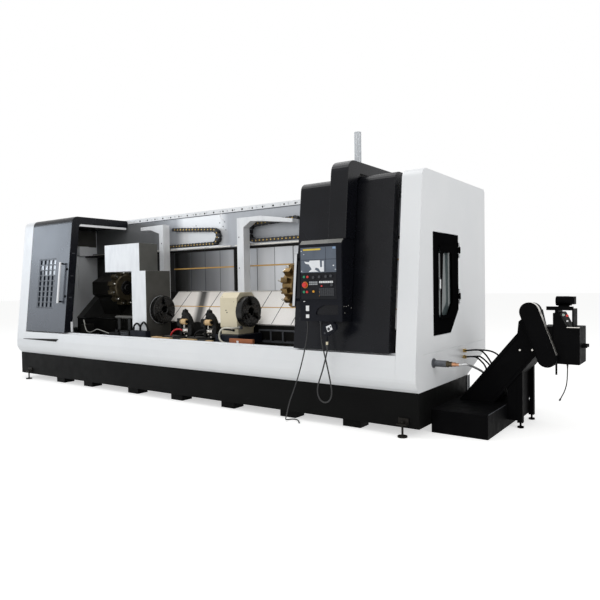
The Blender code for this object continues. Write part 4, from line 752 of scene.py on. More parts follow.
def turret(number, face, direction):
    """Twelve-station disc with wedge clamps, holders and tools, dressed from the face outwards."""
    name, look = f"turret_{number}", "dark_bronze" if number == 1 else "bronze"
    disc, clamps, holders, bits = (bmesh.new() for _ in range(4))
    axis = (direction, 0, 0)
    flat = TURRET_RADIUS * math.cos(math.radians(15))
    add_lathe(disc, (face, TURRET_Y, TURRET_Z), axis,
              [(0.0, TURRET_RADIUS - 0.012), (0.010, TURRET_RADIUS), (DISC_DEPTH - 0.012, TURRET_RADIUS),
               (DISC_DEPTH, TURRET_RADIUS - 0.014)], 12)
    add_lathe(disc, (face - direction * 0.079, TURRET_Y, TURRET_Z), axis, [(0.0, 0.058), (0.078, 0.058)], 40)
    add_lathe(clamps, (face + direction * DISC_DEPTH, TURRET_Y, TURRET_Z), axis,
              [(-0.001, 0.105), (0.010, 0.105), (0.016, 0.095), (0.016, 0.05), (0.028, 0.045)], 40)
    middle, width, thick = direction * DISC_DEPTH * 0.55, 0.045, 0.030
    bore = TOOL_REACH - 0.032
    for index in range(12):
        turn = Matrix.Rotation(math.radians(15 + 30 * index), 4, "X")
        station = Matrix.Translation((face, TURRET_Y, TURRET_Z)) @ turn
        made = add_box(holders, (middle - width, flat - 0.012, -thick),
                       (middle + width, TOOL_REACH - 0.004, thick))
        made += add_box(holders, (middle - width * 0.7, TOOL_REACH - 0.02, -thick * 0.75),
                        (middle + width * 0.7, TOOL_REACH, thick * 0.75))
        placed(holders, made, station)
        for side in (-1, 1):
            screw = (middle + side * 0.028, TOOL_REACH - 0.014, thick * 0.995)
            placed(clamps, add_rod(clamps, screw, (*screw[:2], thick + 0.003), 0.007, 12), station)
        if index % 2:
            reach = middle + direction * 0.088
            made = add_rod(bits, (middle + direction * width, bore, 0), (reach, bore, 0), 0.013, 20)
            made += add_rod(bits, (reach, bore, 0), (reach + direction * 0.014, bore, 0), 0.013, 20, 0.005)
        else:
            low = min(middle + direction * 0.020, middle + direction * 0.040)
            made = add_box(bits, (low, TOOL_REACH - 0.010, -0.011), (low + 0.02, TOOL_REACH, 0.011))
            made += add_box(bits, (middle + min(0, direction * 0.07), TOOL_REACH - 0.040, -0.011),
                            (middle + max(0, direction * 0.07), TOOL_REACH - 0.018, 0.011))
        placed(bits, made, station)
    made = piece(f"{name}_disc_body", disc, look, name, bevel=0.002)
    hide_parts(f"{name}_disc")
    piece(f"{name}_holders", holders, look, name, bevel=0.003)
    piece(f"{name}_clamps", clamps, "chuck_steel", name, bevel=0.001)
    piece(f"{name}_tools", bits, "tool_steel", name, bevel=0.001)


def steady_rest(number, x):
    """Curved arm with a roller, a drive motor and a cylinder, on a ribbed base."""
    name = f"steady_rest_{number}"
    foot, y = span(name)[0].z, 0.35
    base, arm, steel, cream, motor = (bmesh.new() for _ in range(5))
    add_box(base, (x, y - 0.10, foot), (x + 0.42, y + 0.32, foot + 0.040))
    for index in range(7):
        start = x + 0.005 + index * 0.026
        add_box(base, (start, y - 0.105, foot + 0.006), (start + 0.014, y - 0.09, foot + 0.058))
    add_box(base, (x + 0.004, y - 0.095, foot + 0.035), (x + 0.185, y + 0.02, foot + 0.060))
    seat = foot + 0.05
    outline = [(0.25, seat), (0.418, seat), (0.424, seat + 0.025), (0.437, seat + 0.04), (0.439, 0.85),
               (0.433, 0.91), (0.418, 0.96), (0.394, 1.005), (0.362, 1.040), (0.330, 1.060), (0.322, 1.092),
               (0.290, 1.098), (0.278, 1.068), (0.262, 1.048), (0.262, 1.020), (0.300, 1.004), (0.338, 0.972),
               (0.362, 0.930), (0.374, 0.880), (0.372, 0.830), (0.350, 0.785)]
    finger = [(0.232, 0.990), (0.300, 0.985), (0.300, 1.020), (0.262, 1.035)]
    add_plate(arm, [(x + along, z) for along, z in outline], "y", y - 0.03, y + 0.03)
    add_box(arm, (x + 0.20, y - 0.10, foot + 0.04), (x + 0.41, y + 0.30, seat + 0.012))
    add_plate(arm, [(x + along, z) for along, z in finger], "y", y - 0.014, y + 0.014)
    add_rod(arm, (x + 0.306, y, 1.085), (x + 0.306, y, 1.106), 0.014, 6)
    for along, z in ((0.33, 1.02), (0.392, 0.96), (0.410, 0.87)):
        add_rod(arm, (x + along, y - 0.036, z), (x + along, y - 0.028, z), 0.009, 6)
    add_box(motor, (x + 0.20, y - 0.05, 0.885), (x + 0.275, y + 0.05, 0.985))
    for index in range(5):
        rib = index * 0.018
        add_box(motor, (x + 0.197, y - 0.055, 0.895 + rib), (x + 0.278, y + 0.055, 0.903 + rib))
    add_box(motor, (x + 0.22, y - 0.03, foot + 0.05), (x + 0.262, y + 0.03, 0.89))
    add_rod(cream, (x + 0.278, y - 0.045, 0.945), (x + 0.372, y - 0.045, 0.945), 0.036, 32)
    for start, end, radius in ((0.286, 0.294, 0.0375), (0.354, 0.380, 0.020)):
        add_rod(arm, (x + start, y - 0.045, 0.945), (x + end, y - 0.045, 0.945), radius, 24)
    for start, end, radius in ((0.285, 0.325, 0.037), (0.325, 0.333, 0.030), (0.333, 0.352, 0.037),
                               (0.352, 0.360, 0.030), (0.360, 0.375, 0.037)):
        add_rod(steel, (x + start, y - 0.005, 0.83), (x + end, y - 0.005, 0.83), radius, 28)
    add_rod(steel, (x + 0.281, y - 0.005, 0.785), (x + 0.281, y - 0.005, 0.93), 0.009, 16)
    for side in (-1, 1):
        spot = (x + 0.36, y + 0.11 + side * 0.15, seat + 0.010)
        add_rod(steel, spot, (*spot[:2], spot[2] + 0.012), 0.012, 6)
    body = piece(f"{name}_base", base, "rest_iron", bevel=0.002)
    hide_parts(name)
    piece(f"{name}_arm", arm, "dark_iron", bevel=0.003)
    piece(f"{name}_motor", motor, "dark_iron", bevel=0.002)
    piece(f"{name}_cylinder", steel, "satin_silver", bevel=0.0015)
    piece(f"{name}_roller", cream, "wood", bevel=0.004)
    hose = smooth_route([
        (x + 0.287, y - 0.045, 0.835), (x + 0.25, y - 0.068, 0.848), (x + 0.19, y - 0.075, 0.838),
        (x + 0.13, y - 0.078, 0.80), (x + 0.10, y - 0.070, foot + 0.058)], 30)
    pipe(f"{name}_hose", hose, 0.011, "red_hose" if number == 1 else "black_rubber")


# Left hood and the space behind it


def left_hood():
    """Window of square holes with panes behind them, handle, latches, light bar and the stripe below."""
    x0, x1, z0, z1 = 0.500, 0.955, 1.100, 1.835
    columns, rows, bar = 4, 9, 0.022
    step_x, step_z = (x1 - x0 - bar) / columns, (z1 - z0 - bar) / rows
    grille, bright, dark, sheet = (bmesh.new() for _ in range(4))
    for column in range(columns + 1):
        start = x0 + column * step_x
        lean_block(grille, start, start + bar, z0, z1, 0.0, 0.014)
    for row in range(rows + 1):
        start = z0 + row * step_z
        lean_block(grille, x0, x1, start + 0.004, start + bar - 0.004, -0.0005, 0.013)
    outer = rounded([(0.2495, 0.7535), (1.2765, 0.7535), (1.2765, 2.345), (0.2495, 2.345)], 0.006, 2)
    inner = rounded([(x0, z0), (x1, z0), (x1, z1), (x0, z1)], 0.006, 2)
    add_ring(sheet, outer, inner, "y", -0.002, 0.0005)
    for vert in sheet.verts:
        vert.co.y += front_y(vert.co.z)
    piece("left_hood_front_sheet", sheet, "slate_paint", "left_hood")
    for column in range(columns):
        for row in range(rows):
            start, low = x0 + bar + column * step_x, z0 + bar - 0.004 + row * step_z
            # Painted reflection: the top rows of panes are made bright; the rest are dark panes.
            lit = row >= (6 if column else 7) and not (row == rows - 1 and column < 2)
            lean_block(bright if lit else dark, start - 0.004, start + step_x - bar + 0.004, low - 0.004,
                       low + step_z - bar + 0.012, -0.016, 0.006)
    body = piece("left_window_bars", grille, "slate_paint", "left_hood", bevel=0.001)
    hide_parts("left_window_grille", "left_window_glass")
    piece("left_window_painted_reflection_panes", bright, "pane_painted_reflection", "left_hood")
    piece("left_window_dark_panes", dark, "pane_dark", "left_hood")
    body = form("left_hood_grip", "white_plastic", lean_block, [(1.116, 1.146, 1.175, 1.775, 0.062, 0.020)],
                body="left_hood", bevel=0.004)
    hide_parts("left_hood_handle")
    form("left_hood_grip_feet", "door_paint", lean_block,
         [(1.120, 1.142, z - 0.011, z + 0.011, 0.044, 0.046) for z in (1.20, 1.75)],
         body="left_hood", bevel=0.002)
    latches, marks = bmesh.new(), bmesh.new()
    for z in (1.667, 1.274):
        lean_block(latches, 1.222, 1.246, z - 0.018, z + 0.018, 0.010, 0.012)
        lean_block(latches, 1.246, 1.262, z - 0.007, z + 0.007, 0.006, 0.008)
    piece("left_hood_latches", latches, "door_paint", "left_hood", bevel=0.002)
    for z in (1.90, 1.57, 1.26):
        y = front_y(z) + 0.055
        add_box(marks, (1.2798, y - 0.022, z - 0.004), (1.2835, y + 0.022, z + 0.004))
    piece("left_hood_catches", marks, "fitting_grey", "left_hood", bevel=0.001)
    blocks("left_hood_corner_plate", "white_plastic", [((1.2802, 0.050, 0.755), (1.2835, 0.082, 0.905))],
           body="left_hood", bevel=0.001)
    outline = rounded([(0.20, 2.300), (1.065, 2.300), (1.065, 2.334), (0.20, 2.334)], 0.008)
    body = form("left_hood_light_bar", "white_plastic", add_plate, [(outline, "x", 1.247, 1.277)],
                body="left_hood", bevel=0.002)
    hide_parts("left_hood_light")
    outline = [(0.194, 0.622), (0.194, 0.628), (1.135, 0.656), (1.085, 0.616), (0.891, 0.617)]
    form("left_end_stripe", "seam_black", add_plate, [(outline, "y", -0.0695, -0.060)])


def left_interior():
    """Duct and trim on the end wall, and the hose, cylinder and boxes beside headstock 1."""
    blocks("end_wall_trim", "white_paint", [((0.4503, 0.70, 1.91), (0.56, 0.873, 2.062)),
                                            ((0.4503, 0.735, 1.34), (0.462, 0.762, 1.915))], bevel=0.003)
    blocks("end_wall_bar", "seam_black", [((0.4503, 0.873, 1.885), (1.85, 1.0995, 1.912))], bevel=0.002)
    # Painted shade: a dark sheet on the top of the end wall standing in for the hood's shadow.
    blocks("end_wall_painted_shadow_plate", "olive_sheet", [((0.4503, 0.56, 2.064), (0.456, 1.083, 2.328))])
    form("left_way_plates", "dark_cover", slant_block,
         [(start, start + 0.44, 0.70, 1.09, 0.006, 0.006) for start in (0.62, 1.07, 1.52, 1.97)], bevel=0.001)
    form("cover_tag", "white_plastic", slant_block, [(1.205, 1.225, 0.93, 0.985, 0.012, 0.006)], bevel=0.001)
    blocks("lubrication_boxes", "dark_iron", [
        ((1.30, 0.20, 0.70), (1.42, 0.34, 0.86)), ((1.98, 0.19, 0.70), (2.20, 0.33, 0.77)),
        ((2.21, 0.20, 0.70), (2.41, 0.36, 0.80)), ((2.08, 0.27, 0.80), (2.14, 0.33, 0.97)),
        ((2.30, 0.27, 0.80), (2.36, 0.33, 0.97)), ((2.08, 0.22, 0.765), (2.14, 0.33, 0.805))], bevel=0.004)
    rods("coolant_cylinder", "olive_sheet", [
        ((2.03, 0.30, 0.978), (2.42, 0.30, 0.978), 0.024, 28),
        ((2.00, 0.30, 0.978), (2.035, 0.30, 0.978), 0.014, 20)], bevel=0.003)
    blocks("lubrication_levels", "fitting_grey", [
        ((1.44, 0.21, LEDGE), (1.92, 0.24, 0.716)), ((1.62, 0.20, LEDGE), (1.66, 0.26, 0.735)),
        ((1.80, 0.20, LEDGE), (1.84, 0.26, 0.735)), ((2.235, 0.197, 0.74), (2.385, 0.201, 0.748)),
        ((2.235, 0.197, 0.765), (2.385, 0.201, 0.772))], bevel=0.0015)
    loop = smooth_route([
        (1.34, 0.25, 0.855), (1.335, 0.23, 0.90), (1.355, 0.215, 0.925), (1.385, 0.205, 0.90),
        (1.41, 0.20, 0.83), (1.45, 0.20, 0.765), (1.53, 0.20, 0.752), (1.62, 0.20, 0.775),
        (1.70, 0.20, 0.80), (1.80, 0.20, 0.785), (1.90, 0.20, 0.765), (1.985, 0.21, 0.745)], 60)
    pipe("lubrication_line", loop, 0.007, "grey_hose")
    for number, start, top, end in ((1, 2.50, 0.905, 2.645), (2, 2.635, 0.925, 2.79)):
        loop = smooth_route([(start, 0.21, 0.80), (start + 0.012, 0.21, 0.87), ((start + end) / 2, 0.21, top),
                             (end - 0.012, 0.21, 0.87), (end, 0.21, 0.80)], 40)
        pipe(f"headstock_1_hose_{number}", loop, 0.013, "black_rubber")
    blocks("headstock_1_manifold", "navy_plastic", [
        ((2.475, 0.17, 0.70), (2.80, 0.245, 0.812)), ((2.49, 0.166, 0.72), (2.60, 0.171, 0.80)),
        ((2.615, 0.166, 0.72), (2.785, 0.171, 0.80))], bevel=0.003)


# Back of the working space


def rear_covers():
    """Telescopic sheets, their seams and wiper strips, and the lines on the covers."""
    left_edges = (0.452, 0.80, 1.16, 1.52, 1.88, 2.355, 2.694, 2.988, 3.28, 3.543)
    right_edges = (3.662, 3.95, 4.245, 4.54, 4.835, 5.13, 5.48, 5.83, 6.18, 6.518)
    for name, edges in (("left", left_edges), ("right", right_edges)):
        sheets, seams = bmesh.new(), bmesh.new()
        for index, (start, end) in enumerate(zip(edges, edges[1:])):
            depth = 0.0006 + 0.0022 * (index % 3)
            add_box(sheets, (start, 1.0994 - depth, 1.3205), (end, 1.0998, 1.884))
            if index:
                add_box(seams, (start - 0.003, 1.0925, 1.3215), (start + 0.003, 1.0996, 1.883))
        piece(f"way_sheets_{name}", sheets, f"sheet_{name}", bevel=0.0005)
        piece(f"way_seams_{name}", seams, "seam_grey")
    form("way_cover_line", "tan_strip", add_plate, [
        ([(2.34, 1.640), (2.34, 1.655), (3.543, 1.660), (3.543, 1.642)], "y", 1.0915, 1.0985),
        ([(3.662, 1.643), (3.662, 1.661), (6.518, 1.668), (6.518, 1.648)], "y", 1.0915, 1.0985)])
    form("slant_cover_seams", "seam_black", slant_block,
         [(x - 0.003, x + 0.003, 0.694, 1.108, 0.003, 0.0036)
          for x in (2.70, 3.283, 4.19, 4.495, 4.79, 5.09, 5.45, 5.80)])
    form("slant_cover_line", "tan_strip", slant_block, [(2.44, 6.515, 0.884, 0.893, 0.0025, 0.003)])
    form("slant_cover_top_lip", "satin_silver", slant_block, [(2.44, 6.515, 1.090, 1.110, 0.0035, 0.004)])
    # Louvred guard on the front of the bed
    bars = [((4.29, 0.690, 0.690), (5.32, 0.7037, 0.712)), ((4.29, 0.690, 0.832), (5.32, 0.7037, 0.852))]
    bars += [((x, 0.690, 0.70), (x + 0.022, 0.7037, 0.84))
             for x in (4.29, 4.470, 4.655, 4.84, 5.03, 5.22, 5.30)]
    blocks("bed_guard_frame", "seam_grey", bars, bevel=0.002)
    blocks("bed_guard_slots", "fitting_grey", [((x, 0.700, 0.716), (x + 0.11, 0.7037, 0.722))
                                               for x in (4.35, 4.53, 4.71, 4.90, 5.09)])


def upper_panel():
    """Rail of round sockets with a dark strip under it as painted shadow, edge strips, bolts, the small eye
    and the two bracket arms.
    """
    # A thin dark strip at the foot of the top rail: the gap there, with the rail's shadow painted on.
    blocks("top_rail_shadow_line", "seam_grey", [((0.46, 1.0975, 2.3845), (6.51, 1.0998, 2.395))])
    blocks("panel_lower_lip", "satin_silver", [((0.46, 1.004, 1.917), (3.56, 1.0199, 1.936)),
                                              ((3.64, 1.004, 1.917), (6.51, 1.0199, 1.936))], bevel=0.003)
    blocks("cover_frame_edges", "seam_black", [((0.46, 1.080, 1.886), (6.51, 1.0995, 1.916)),
                                              ((3.547, 1.080, 1.33), (3.580, 1.0995, 1.89))], bevel=0.001)
    spots = ((2.90, 2.245), (3.36, 2.254), (3.45, 2.261), (3.40, 2.073), (3.42, 2.20), (3.47, 2.15),
             (5.25, 2.30))
    rods("panel_bolts", "fitting_grey", [((x, 1.0205, z), (x, 1.013, z), 0.008, 6) for x, z in spots],
         bevel=0.001)
    rods("top_rail_sockets", "black_rubber", [((x, 1.0995, 2.419), (x, 1.1115, 2.419), 0.0125, 16)
                                              for x in (1.576 + 0.177 * index for index in range(22))])
    eye = smooth_route([(3.395, 1.018, 2.375), (3.385, 1.000, 2.345), (3.40, 0.995, 2.315),
                        (3.425, 1.000, 2.30), (3.44, 1.018, 2.285)], 24)
    pipe("panel_lifting_eye", eye, 0.006, "white_plastic")
    left_arm = [(2.281, 1.0935), (2.369, 1.0935), (2.369, 2.290), (1.873, 2.281), (1.873, 2.233),
                (2.10, 2.226), (2.281, 2.165)]
    right_arm = [(3.801, 1.0935), (3.914, 1.0935), (3.914, 2.142), (4.031, 2.214), (4.20, 2.206),
                 (4.705, 2.152), (4.709, 2.196), (4.20, 2.270), (3.801, 2.270)]
    for number, outline, x in ((1, left_arm, 2.335), (2, right_arm, 3.835)):
        body = form(f"bracket_{number}_arm", "grey_paint", add_plate, [(outline, "y", 0.8702, 0.9948)],
                    bevel=0.003)
        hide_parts(f"bracket_{number}")
        rods(f"bracket_{number}_bolts", "fitting_grey",
             [((x, 0.8705, z), (x, 0.866, z), 0.008, 6) for z in (1.20, 1.62, 2.02)])


# Headstocks and chucks

SPINDLE_Y = 0.50
SPINDLE_Z = 1.08


def headstocks():
    """Darker sheets on the sides of headstock 1 and its cover as painted shade, screws, lever and hose of
    headstock 2, and what lies on the bed.
    """
    depths, heights = (0.2505, 0.6695), (LEDGE, 1.6095)
    inner, outer = [], []
    for step in range(48):
        angle = math.radians(360 * step / 48)
        cosine, sine = math.cos(angle), math.sin(angle)
        inner.append((SPINDLE_Y + 0.193 * cosine, SPINDLE_Z + 0.193 * sine))
        reach = []
        for levels, part, centre in ((depths, cosine, SPINDLE_Y), (heights, sine, SPINDLE_Z)):
            if abs(part) > 1e-6:
                reach += [(level - centre) / part for level in levels if (level - centre) / part > 0]
        outer.append((SPINDLE_Y + min(reach) * cosine, SPINDLE_Z + min(reach) * sine))
    for corner in ((depth, height) for depth in depths for height in heights):
        near = min(range(48), key=lambda step: math.dist(outer[step], corner))
        outer[near] = corner
    # Painted shade: headstock 1's side and its cover's side are dark sheets over the pale paint, for the side
    # that gets less light.
    form("headstock_1_side_painted_shade", "olive_sheet", add_ring, [(outer, inner, "x", 2.7202, 2.7232)],
         bevel=0.0006)
    blocks("headstock_1_cover_side_painted_shade", "cover_side", [((2.6002, 0.2505, 1.6105), (2.6022, 0.5595, 1.9845))])
    screws = [((x, 0.3405, z), (x, 0.3375, z), 0.007, 12) for x, z in ((4.08, 1.097), (4.096, 1.071))]
    screws += [((x, 0.3405, z), (x, 0.3385, z), 0.004, 12)
               for x, z in ((4.03, 1.26), (4.03, 0.86), (4.21, 0.86), (4.21, 1.20))]
    rods("headstock_2_screws", "dark_iron", screws, body="headstock_2")
    rods("headstock_2_lever", "black_rubber", [
        ((4.10, 0.255, 0.876), (4.27, 0.255, 0.868), 0.010, 16),
        ((4.13, 0.255, 0.875), (4.13, 0.362, 0.875), 0.009, 16),
        ((4.262, 0.255, 0.868), (4.285, 0.255, 0.867), 0.014, 16)], body="headstock_2", bevel=0.002)
    hose = smooth_route([
        (4.30, 0.355, 0.895), (4.285, 0.30, 0.896), (4.262, 0.245, 0.895), (4.21, 0.228, 0.897),
        (4.15, 0.222, 0.892), (4.095, 0.22, 0.858), (4.075, 0.22, 0.80), (4.09, 0.22, 0.752),
        (4.13, 0.222, 0.722), (4.17, 0.224, 0.716), (4.20, 0.240, 0.716)], 60)
    pipe("headstock_2_hose", hose, 0.0115, "white_hose", "headstock_2")
    blocks("headstock_2_hose_blocks", "fitting_grey", [
        ((4.185, 0.222, 0.702), (4.225, 0.2398, 0.732)), ((4.285, 0.33, 0.875), (4.315, 0.372, 0.915))],
        body="headstock_2", bevel=0.002)
    blocks("bed_boards", "wood", [
        ((2.92, 0.160, LEDGE), (3.045, 0.235, 0.748)), ((3.05, 0.160, LEDGE), (3.252, 0.225, 0.742)),
        ((3.465, 0.160, LEDGE), (3.700, 0.225, 0.742)), ((3.900, 0.160, LEDGE), (3.995, 0.205, 0.740))],
        bevel=0.002)
    blocks("bed_box", "orange_board", [((4.29, 0.160, LEDGE), (4.645, 0.195, 0.782))], bevel=0.002)
    blocks("bed_box_tag", "white_plastic", [((4.405, 0.158, 0.7303), (4.435, 0.1605, 0.760))])


def chuck(number, start, depth, body):
    """Chuck with grooved face, stepped jaws, screws and an open bore."""
    name = f"chuck_{number}"
    centre = (start, SPINDLE_Y, SPINDLE_Z)
    disc, jaws, steel = bmesh.new(), bmesh.new(), bmesh.new()
    add_lathe(disc, centre, (1, 0, 0), [
        (-0.139, 0.052), (0.0, 0.054), (0.0, 0.184), (0.003, 0.187), (depth - 0.006, 0.187), (depth, 0.181),
        (depth, 0.158), (depth - 0.004, 0.156), (depth - 0.004, 0.146), (depth, 0.144), (depth, 0.112),
        (depth - 0.003, 0.110), (depth - 0.003, 0.102), (depth, 0.100), (depth, 0.056),
        (depth - 0.008, 0.046), (depth - 0.088, 0.045)], 64)
    for index in range(3):
        turn = Matrix.Translation(Vector(centre)) @ Matrix.Rotation(math.radians(90 + 120 * index), 4, "X")
        for low, high, rise in ((0.075, 0.175, 0.016), (0.075, 0.142, 0.030), (0.075, 0.108, 0.045)):
            placed(jaws, add_box(jaws, (depth - 0.006, low, -0.024), (depth + rise, high, 0.024)), turn)
        for along, rise in ((0.094, 0.045), (0.160, 0.016)):
            start, end = (depth + rise - 0.002, along, 0), (depth + rise + 0.001, along, 0)
            placed(steel, add_rod(steel, start, end, 0.009, 6), turn)
        placed(steel, add_box(steel, (depth + 0.004, 0.0725, -0.017), (depth + 0.041, 0.0760, 0.017)), turn)
        turn = turn @ Matrix.Rotation(math.radians(60), 4, "X")
        placed(steel, add_rod(steel, (depth - 0.001, 0.128, 0), (depth + 0.003, 0.128, 0), 0.008, 12), turn)
    made = piece(f"{name}_disc", disc, "chuck_steel", body, bevel=0.0008)
    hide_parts(name)
    piece(f"{name}_jaws", jaws, "chuck_steel", body, bevel=0.002)
    piece(f"{name}_bright_parts", steel, "foot_steel", body, bevel=0.0008)


# Hanging control: where keys and buttons start, in front of the key plate

KEY_BACK = -0.1972


def keys(name, look, spots, size, depth):
    """Square keys on the control's face, each at its middle (x, z)."""
    blocks(name, look, [((x - size[0], -0.1978 - depth, z - size[1]), (x + size[0], KEY_BACK, z + size[1]))
                        for x, z in spots], bevel=0.0008)


def buttons(name, look, spots, radius, depth):
    """Round buttons on the control's face, each at its middle (x, z)."""
    profile = [(0.0, radius), (depth * 0.8, radius), (depth, radius * 0.86)]
    form(name, look, add_lathe, [((x, KEY_BACK, z), (0, -1, 0), profile, 24) for x, z in spots])


def control():
    """Box with bezel, screen, keys and buttons, the recess for the hand below and the silver visor on top."""
    left, right = 5.575, 6.050
    outline = [(-0.188, 1.0405), (-0.188, 1.768), (-0.152, 1.8195), (0.055, 1.8195), (-0.03, 1.0405)]
    body = form("control_housing", "black_paint", add_plate, [(outline, "x", left, right)], bevel=0.003)
    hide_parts("control_box")
    face = [(left, 1.2355), (right, 1.2355), (right, 1.78), (left, 1.78)]
    opening = [(5.581, 1.250), (5.997, 1.250), (5.997, 1.752), (5.581, 1.752)]
    lower = [(left, 1.14), (left, 1.2345), (5.85, 1.2345), (right, 1.2345), (right, 1.0405), (left, 1.0405)]
    recess = [(5.756, 1.121), (5.782, 1.163), (5.848, 1.195), (6.007, 1.199), (6.006, 1.108), (5.764, 1.101)]
    form("control_bezel", "control_navy", add_ring, [
        (rounded(face, 0.006), rounded(opening, 0.006), "y", -0.2, -0.1875),
        (rounded(lower, 0.006), rounded(recess, 0.006), "y", -0.2, -0.1875)], bevel=0.0015)
    outline = [(-0.2002, 1.776), (-0.1595, 1.8195), (-0.155, 1.8165), (-0.195, 1.773)]
    form("control_visor", "cover_side", add_plate, [(outline, "x", left, right)], bevel=0.001)
    body = blocks("control_display", "screen_glass", [((5.584, -0.1975, 1.507), (5.992, -0.1885, 1.750))],
                  bevel=0.001)
    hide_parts("control_screen")
    body = blocks("control_key_plate", "key_board", [((5.584, -0.1975, 1.252), (5.994, -0.1885, 1.503))],
                  bevel=0.001)
    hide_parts("key_panel")
    # Picture on the screen
    drawn = bmesh.new()
    figure = [(5.628, 1.616), (5.682, 1.609), (5.695, 1.623), (5.810, 1.623), (5.814, 1.558), (5.835, 1.558),
              (5.835, 1.616), (5.856, 1.616), (5.856, 1.514), (5.818, 1.514), (5.794, 1.547), (5.761, 1.554),
              (5.752, 1.536), (5.794, 1.514), (5.678, 1.514), (5.715, 1.540), (5.682, 1.587), (5.645, 1.594)]
    add_plate(drawn, figure, "y", -0.1984, -0.1974)
    for x, z, wide, high in ((5.595, 1.717, 0.010, 0.008), (5.624, 1.685, 0.008, 0.006),
                             (5.963, 1.569, 0.016, 0.010), (5.984, 1.532, 0.006, 0.010),
                             (5.597, 1.522, 0.009, 0.007)):
        add_box(drawn, (x - wide / 2, -0.1984, z - high / 2), (x + wide / 2, -0.1974, z + high / 2))
    piece("screen_figure", drawn, "screen_white")
    blocks("screen_title", "screen_gold", [((5.616, -0.1984, 1.720), (5.818, -0.1974, 1.736))])
    blocks("screen_corner", "screen_blue", [((5.955, -0.1984, 1.726), (5.988, -0.1974, 1.745))])
    blocks("screen_columns", "screen_dark", [((5.873, -0.1981, 1.512), (5.878, -0.1974, 1.745)),
                                             ((5.584, -0.1981, 1.628), (5.992, -0.1974, 1.633))])
    buttons("control_green_buttons", "button_green", [(5.625, 1.467), (5.622, 1.322)], 0.012, 0.008)
    buttons("control_red_buttons", "button_red", [(5.666, 1.467), (5.658, 1.322)], 0.012, 0.008)
    buttons("control_amber_buttons", "button_amber", [(5.734, 1.326)], 0.011, 0.008)
    buttons("control_marks", "button_amber", [(5.800, 1.285), (5.800, 1.32)], 0.003, 0.002)
    buttons("control_knobs", "key_dark", [(5.737, 1.46), (5.806, 1.464), (5.88, 1.467), (5.936, 1.471),
                                          (5.946, 1.386)], 0.014, 0.014)
    buttons("control_stop_ring", "orange_gland", [(5.635, 1.39)], 0.032, 0.003)
    buttons("control_stop", "button_red", [(5.635, 1.39)], 0.025, 0.024)
    grey = [(5.693 + 0.0198 * column, 1.396 + 0.019 * row) for column in range(5) for row in range(2)]
    dark = [(5.808 + 0.0211 * column, 1.293 + 0.0187 * row) for column in range(8) for row in range(4)]
    keys("control_grey_keys", "key_grey", grey, (0.0080, 0.0070), 0.003)
    keys("control_white_keys", "white_plastic", [(5.809 + 0.0197 * column, 1.4155) for column in range(8)],
         (0.0078, 0.0095), 0.003)
    keys("control_red_key", "button_red", [(5.827, 1.378)], (0.008, 0.007), 0.003)
    keys("control_dark_keys", "key_dark", dark, (0.0085, 0.0072), 0.003)
    blocks("control_plugs", "white_plastic", [
        ((5.645, -0.206, 1.138), (5.682, -0.199, 1.190)), ((5.645, -0.206, 1.070), (5.682, -0.199, 1.105)),
        ((5.614, -0.2025, 1.226), (5.634, -0.1995, 1.233))], bevel=0.002)
    rods("control_side_screws", "satin_silver", [((6.0495, y, z), (6.053, y, z), 0.006, 12) for y, z in (
        (-0.16, 1.184), (-0.122, 1.183), (-0.149, 1.124), (-0.083, 1.188), (-0.031, 1.165))], bevel=0.0008)
    # Hand unit hanging on the right corner below the box
    unit = bmesh.new()
    outline = rounded([(5.842, 0.914), (5.874, 1.016), (6.001, 1.026), (6.008, 0.973), (5.904, 0.903)], 0.012)
    add_plate(unit, outline, "y", -0.2425, -0.2005)
    add_box(unit, (5.925, -0.215, 1.015), (5.965, -0.165, 1.041))
    add_rod(unit, (5.8815, -0.200, 0.848), (5.893, -0.2215, 0.925), 0.010, 20)
    body = piece("hand_unit_body", unit, "control_navy", bevel=0.003)
    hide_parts("handwheel_unit")
    rods("hand_unit_ferrule", "cream_paint", [((5.88, -0.2, 0.8205), (5.8815, -0.2, 0.850), 0.0112, 20)],
         bevel=0.001)
    outline = [(5.898, 0.997), (5.954, 1.018), (5.972, 0.972), (5.918, 0.946)]
    form("hand_unit_plate", "white_plastic", add_plate, [(outline, "y", -0.2436, -0.242)])
    rods("hand_unit_dial", "key_dark", [((5.930, -0.2449, 0.975), (5.930, -0.242, 0.975), 0.0155, 24),
                                        ((5.885, -0.2449, 0.935), (5.885, -0.242, 0.935), 0.010, 20)])
    blocks("hand_unit_square", "key_dark", [((5.944, -0.2444, 0.990), (5.958, -0.242, 1.003))])


# Right-hand end: its face, with a clearance

END_FACE = 6.7203


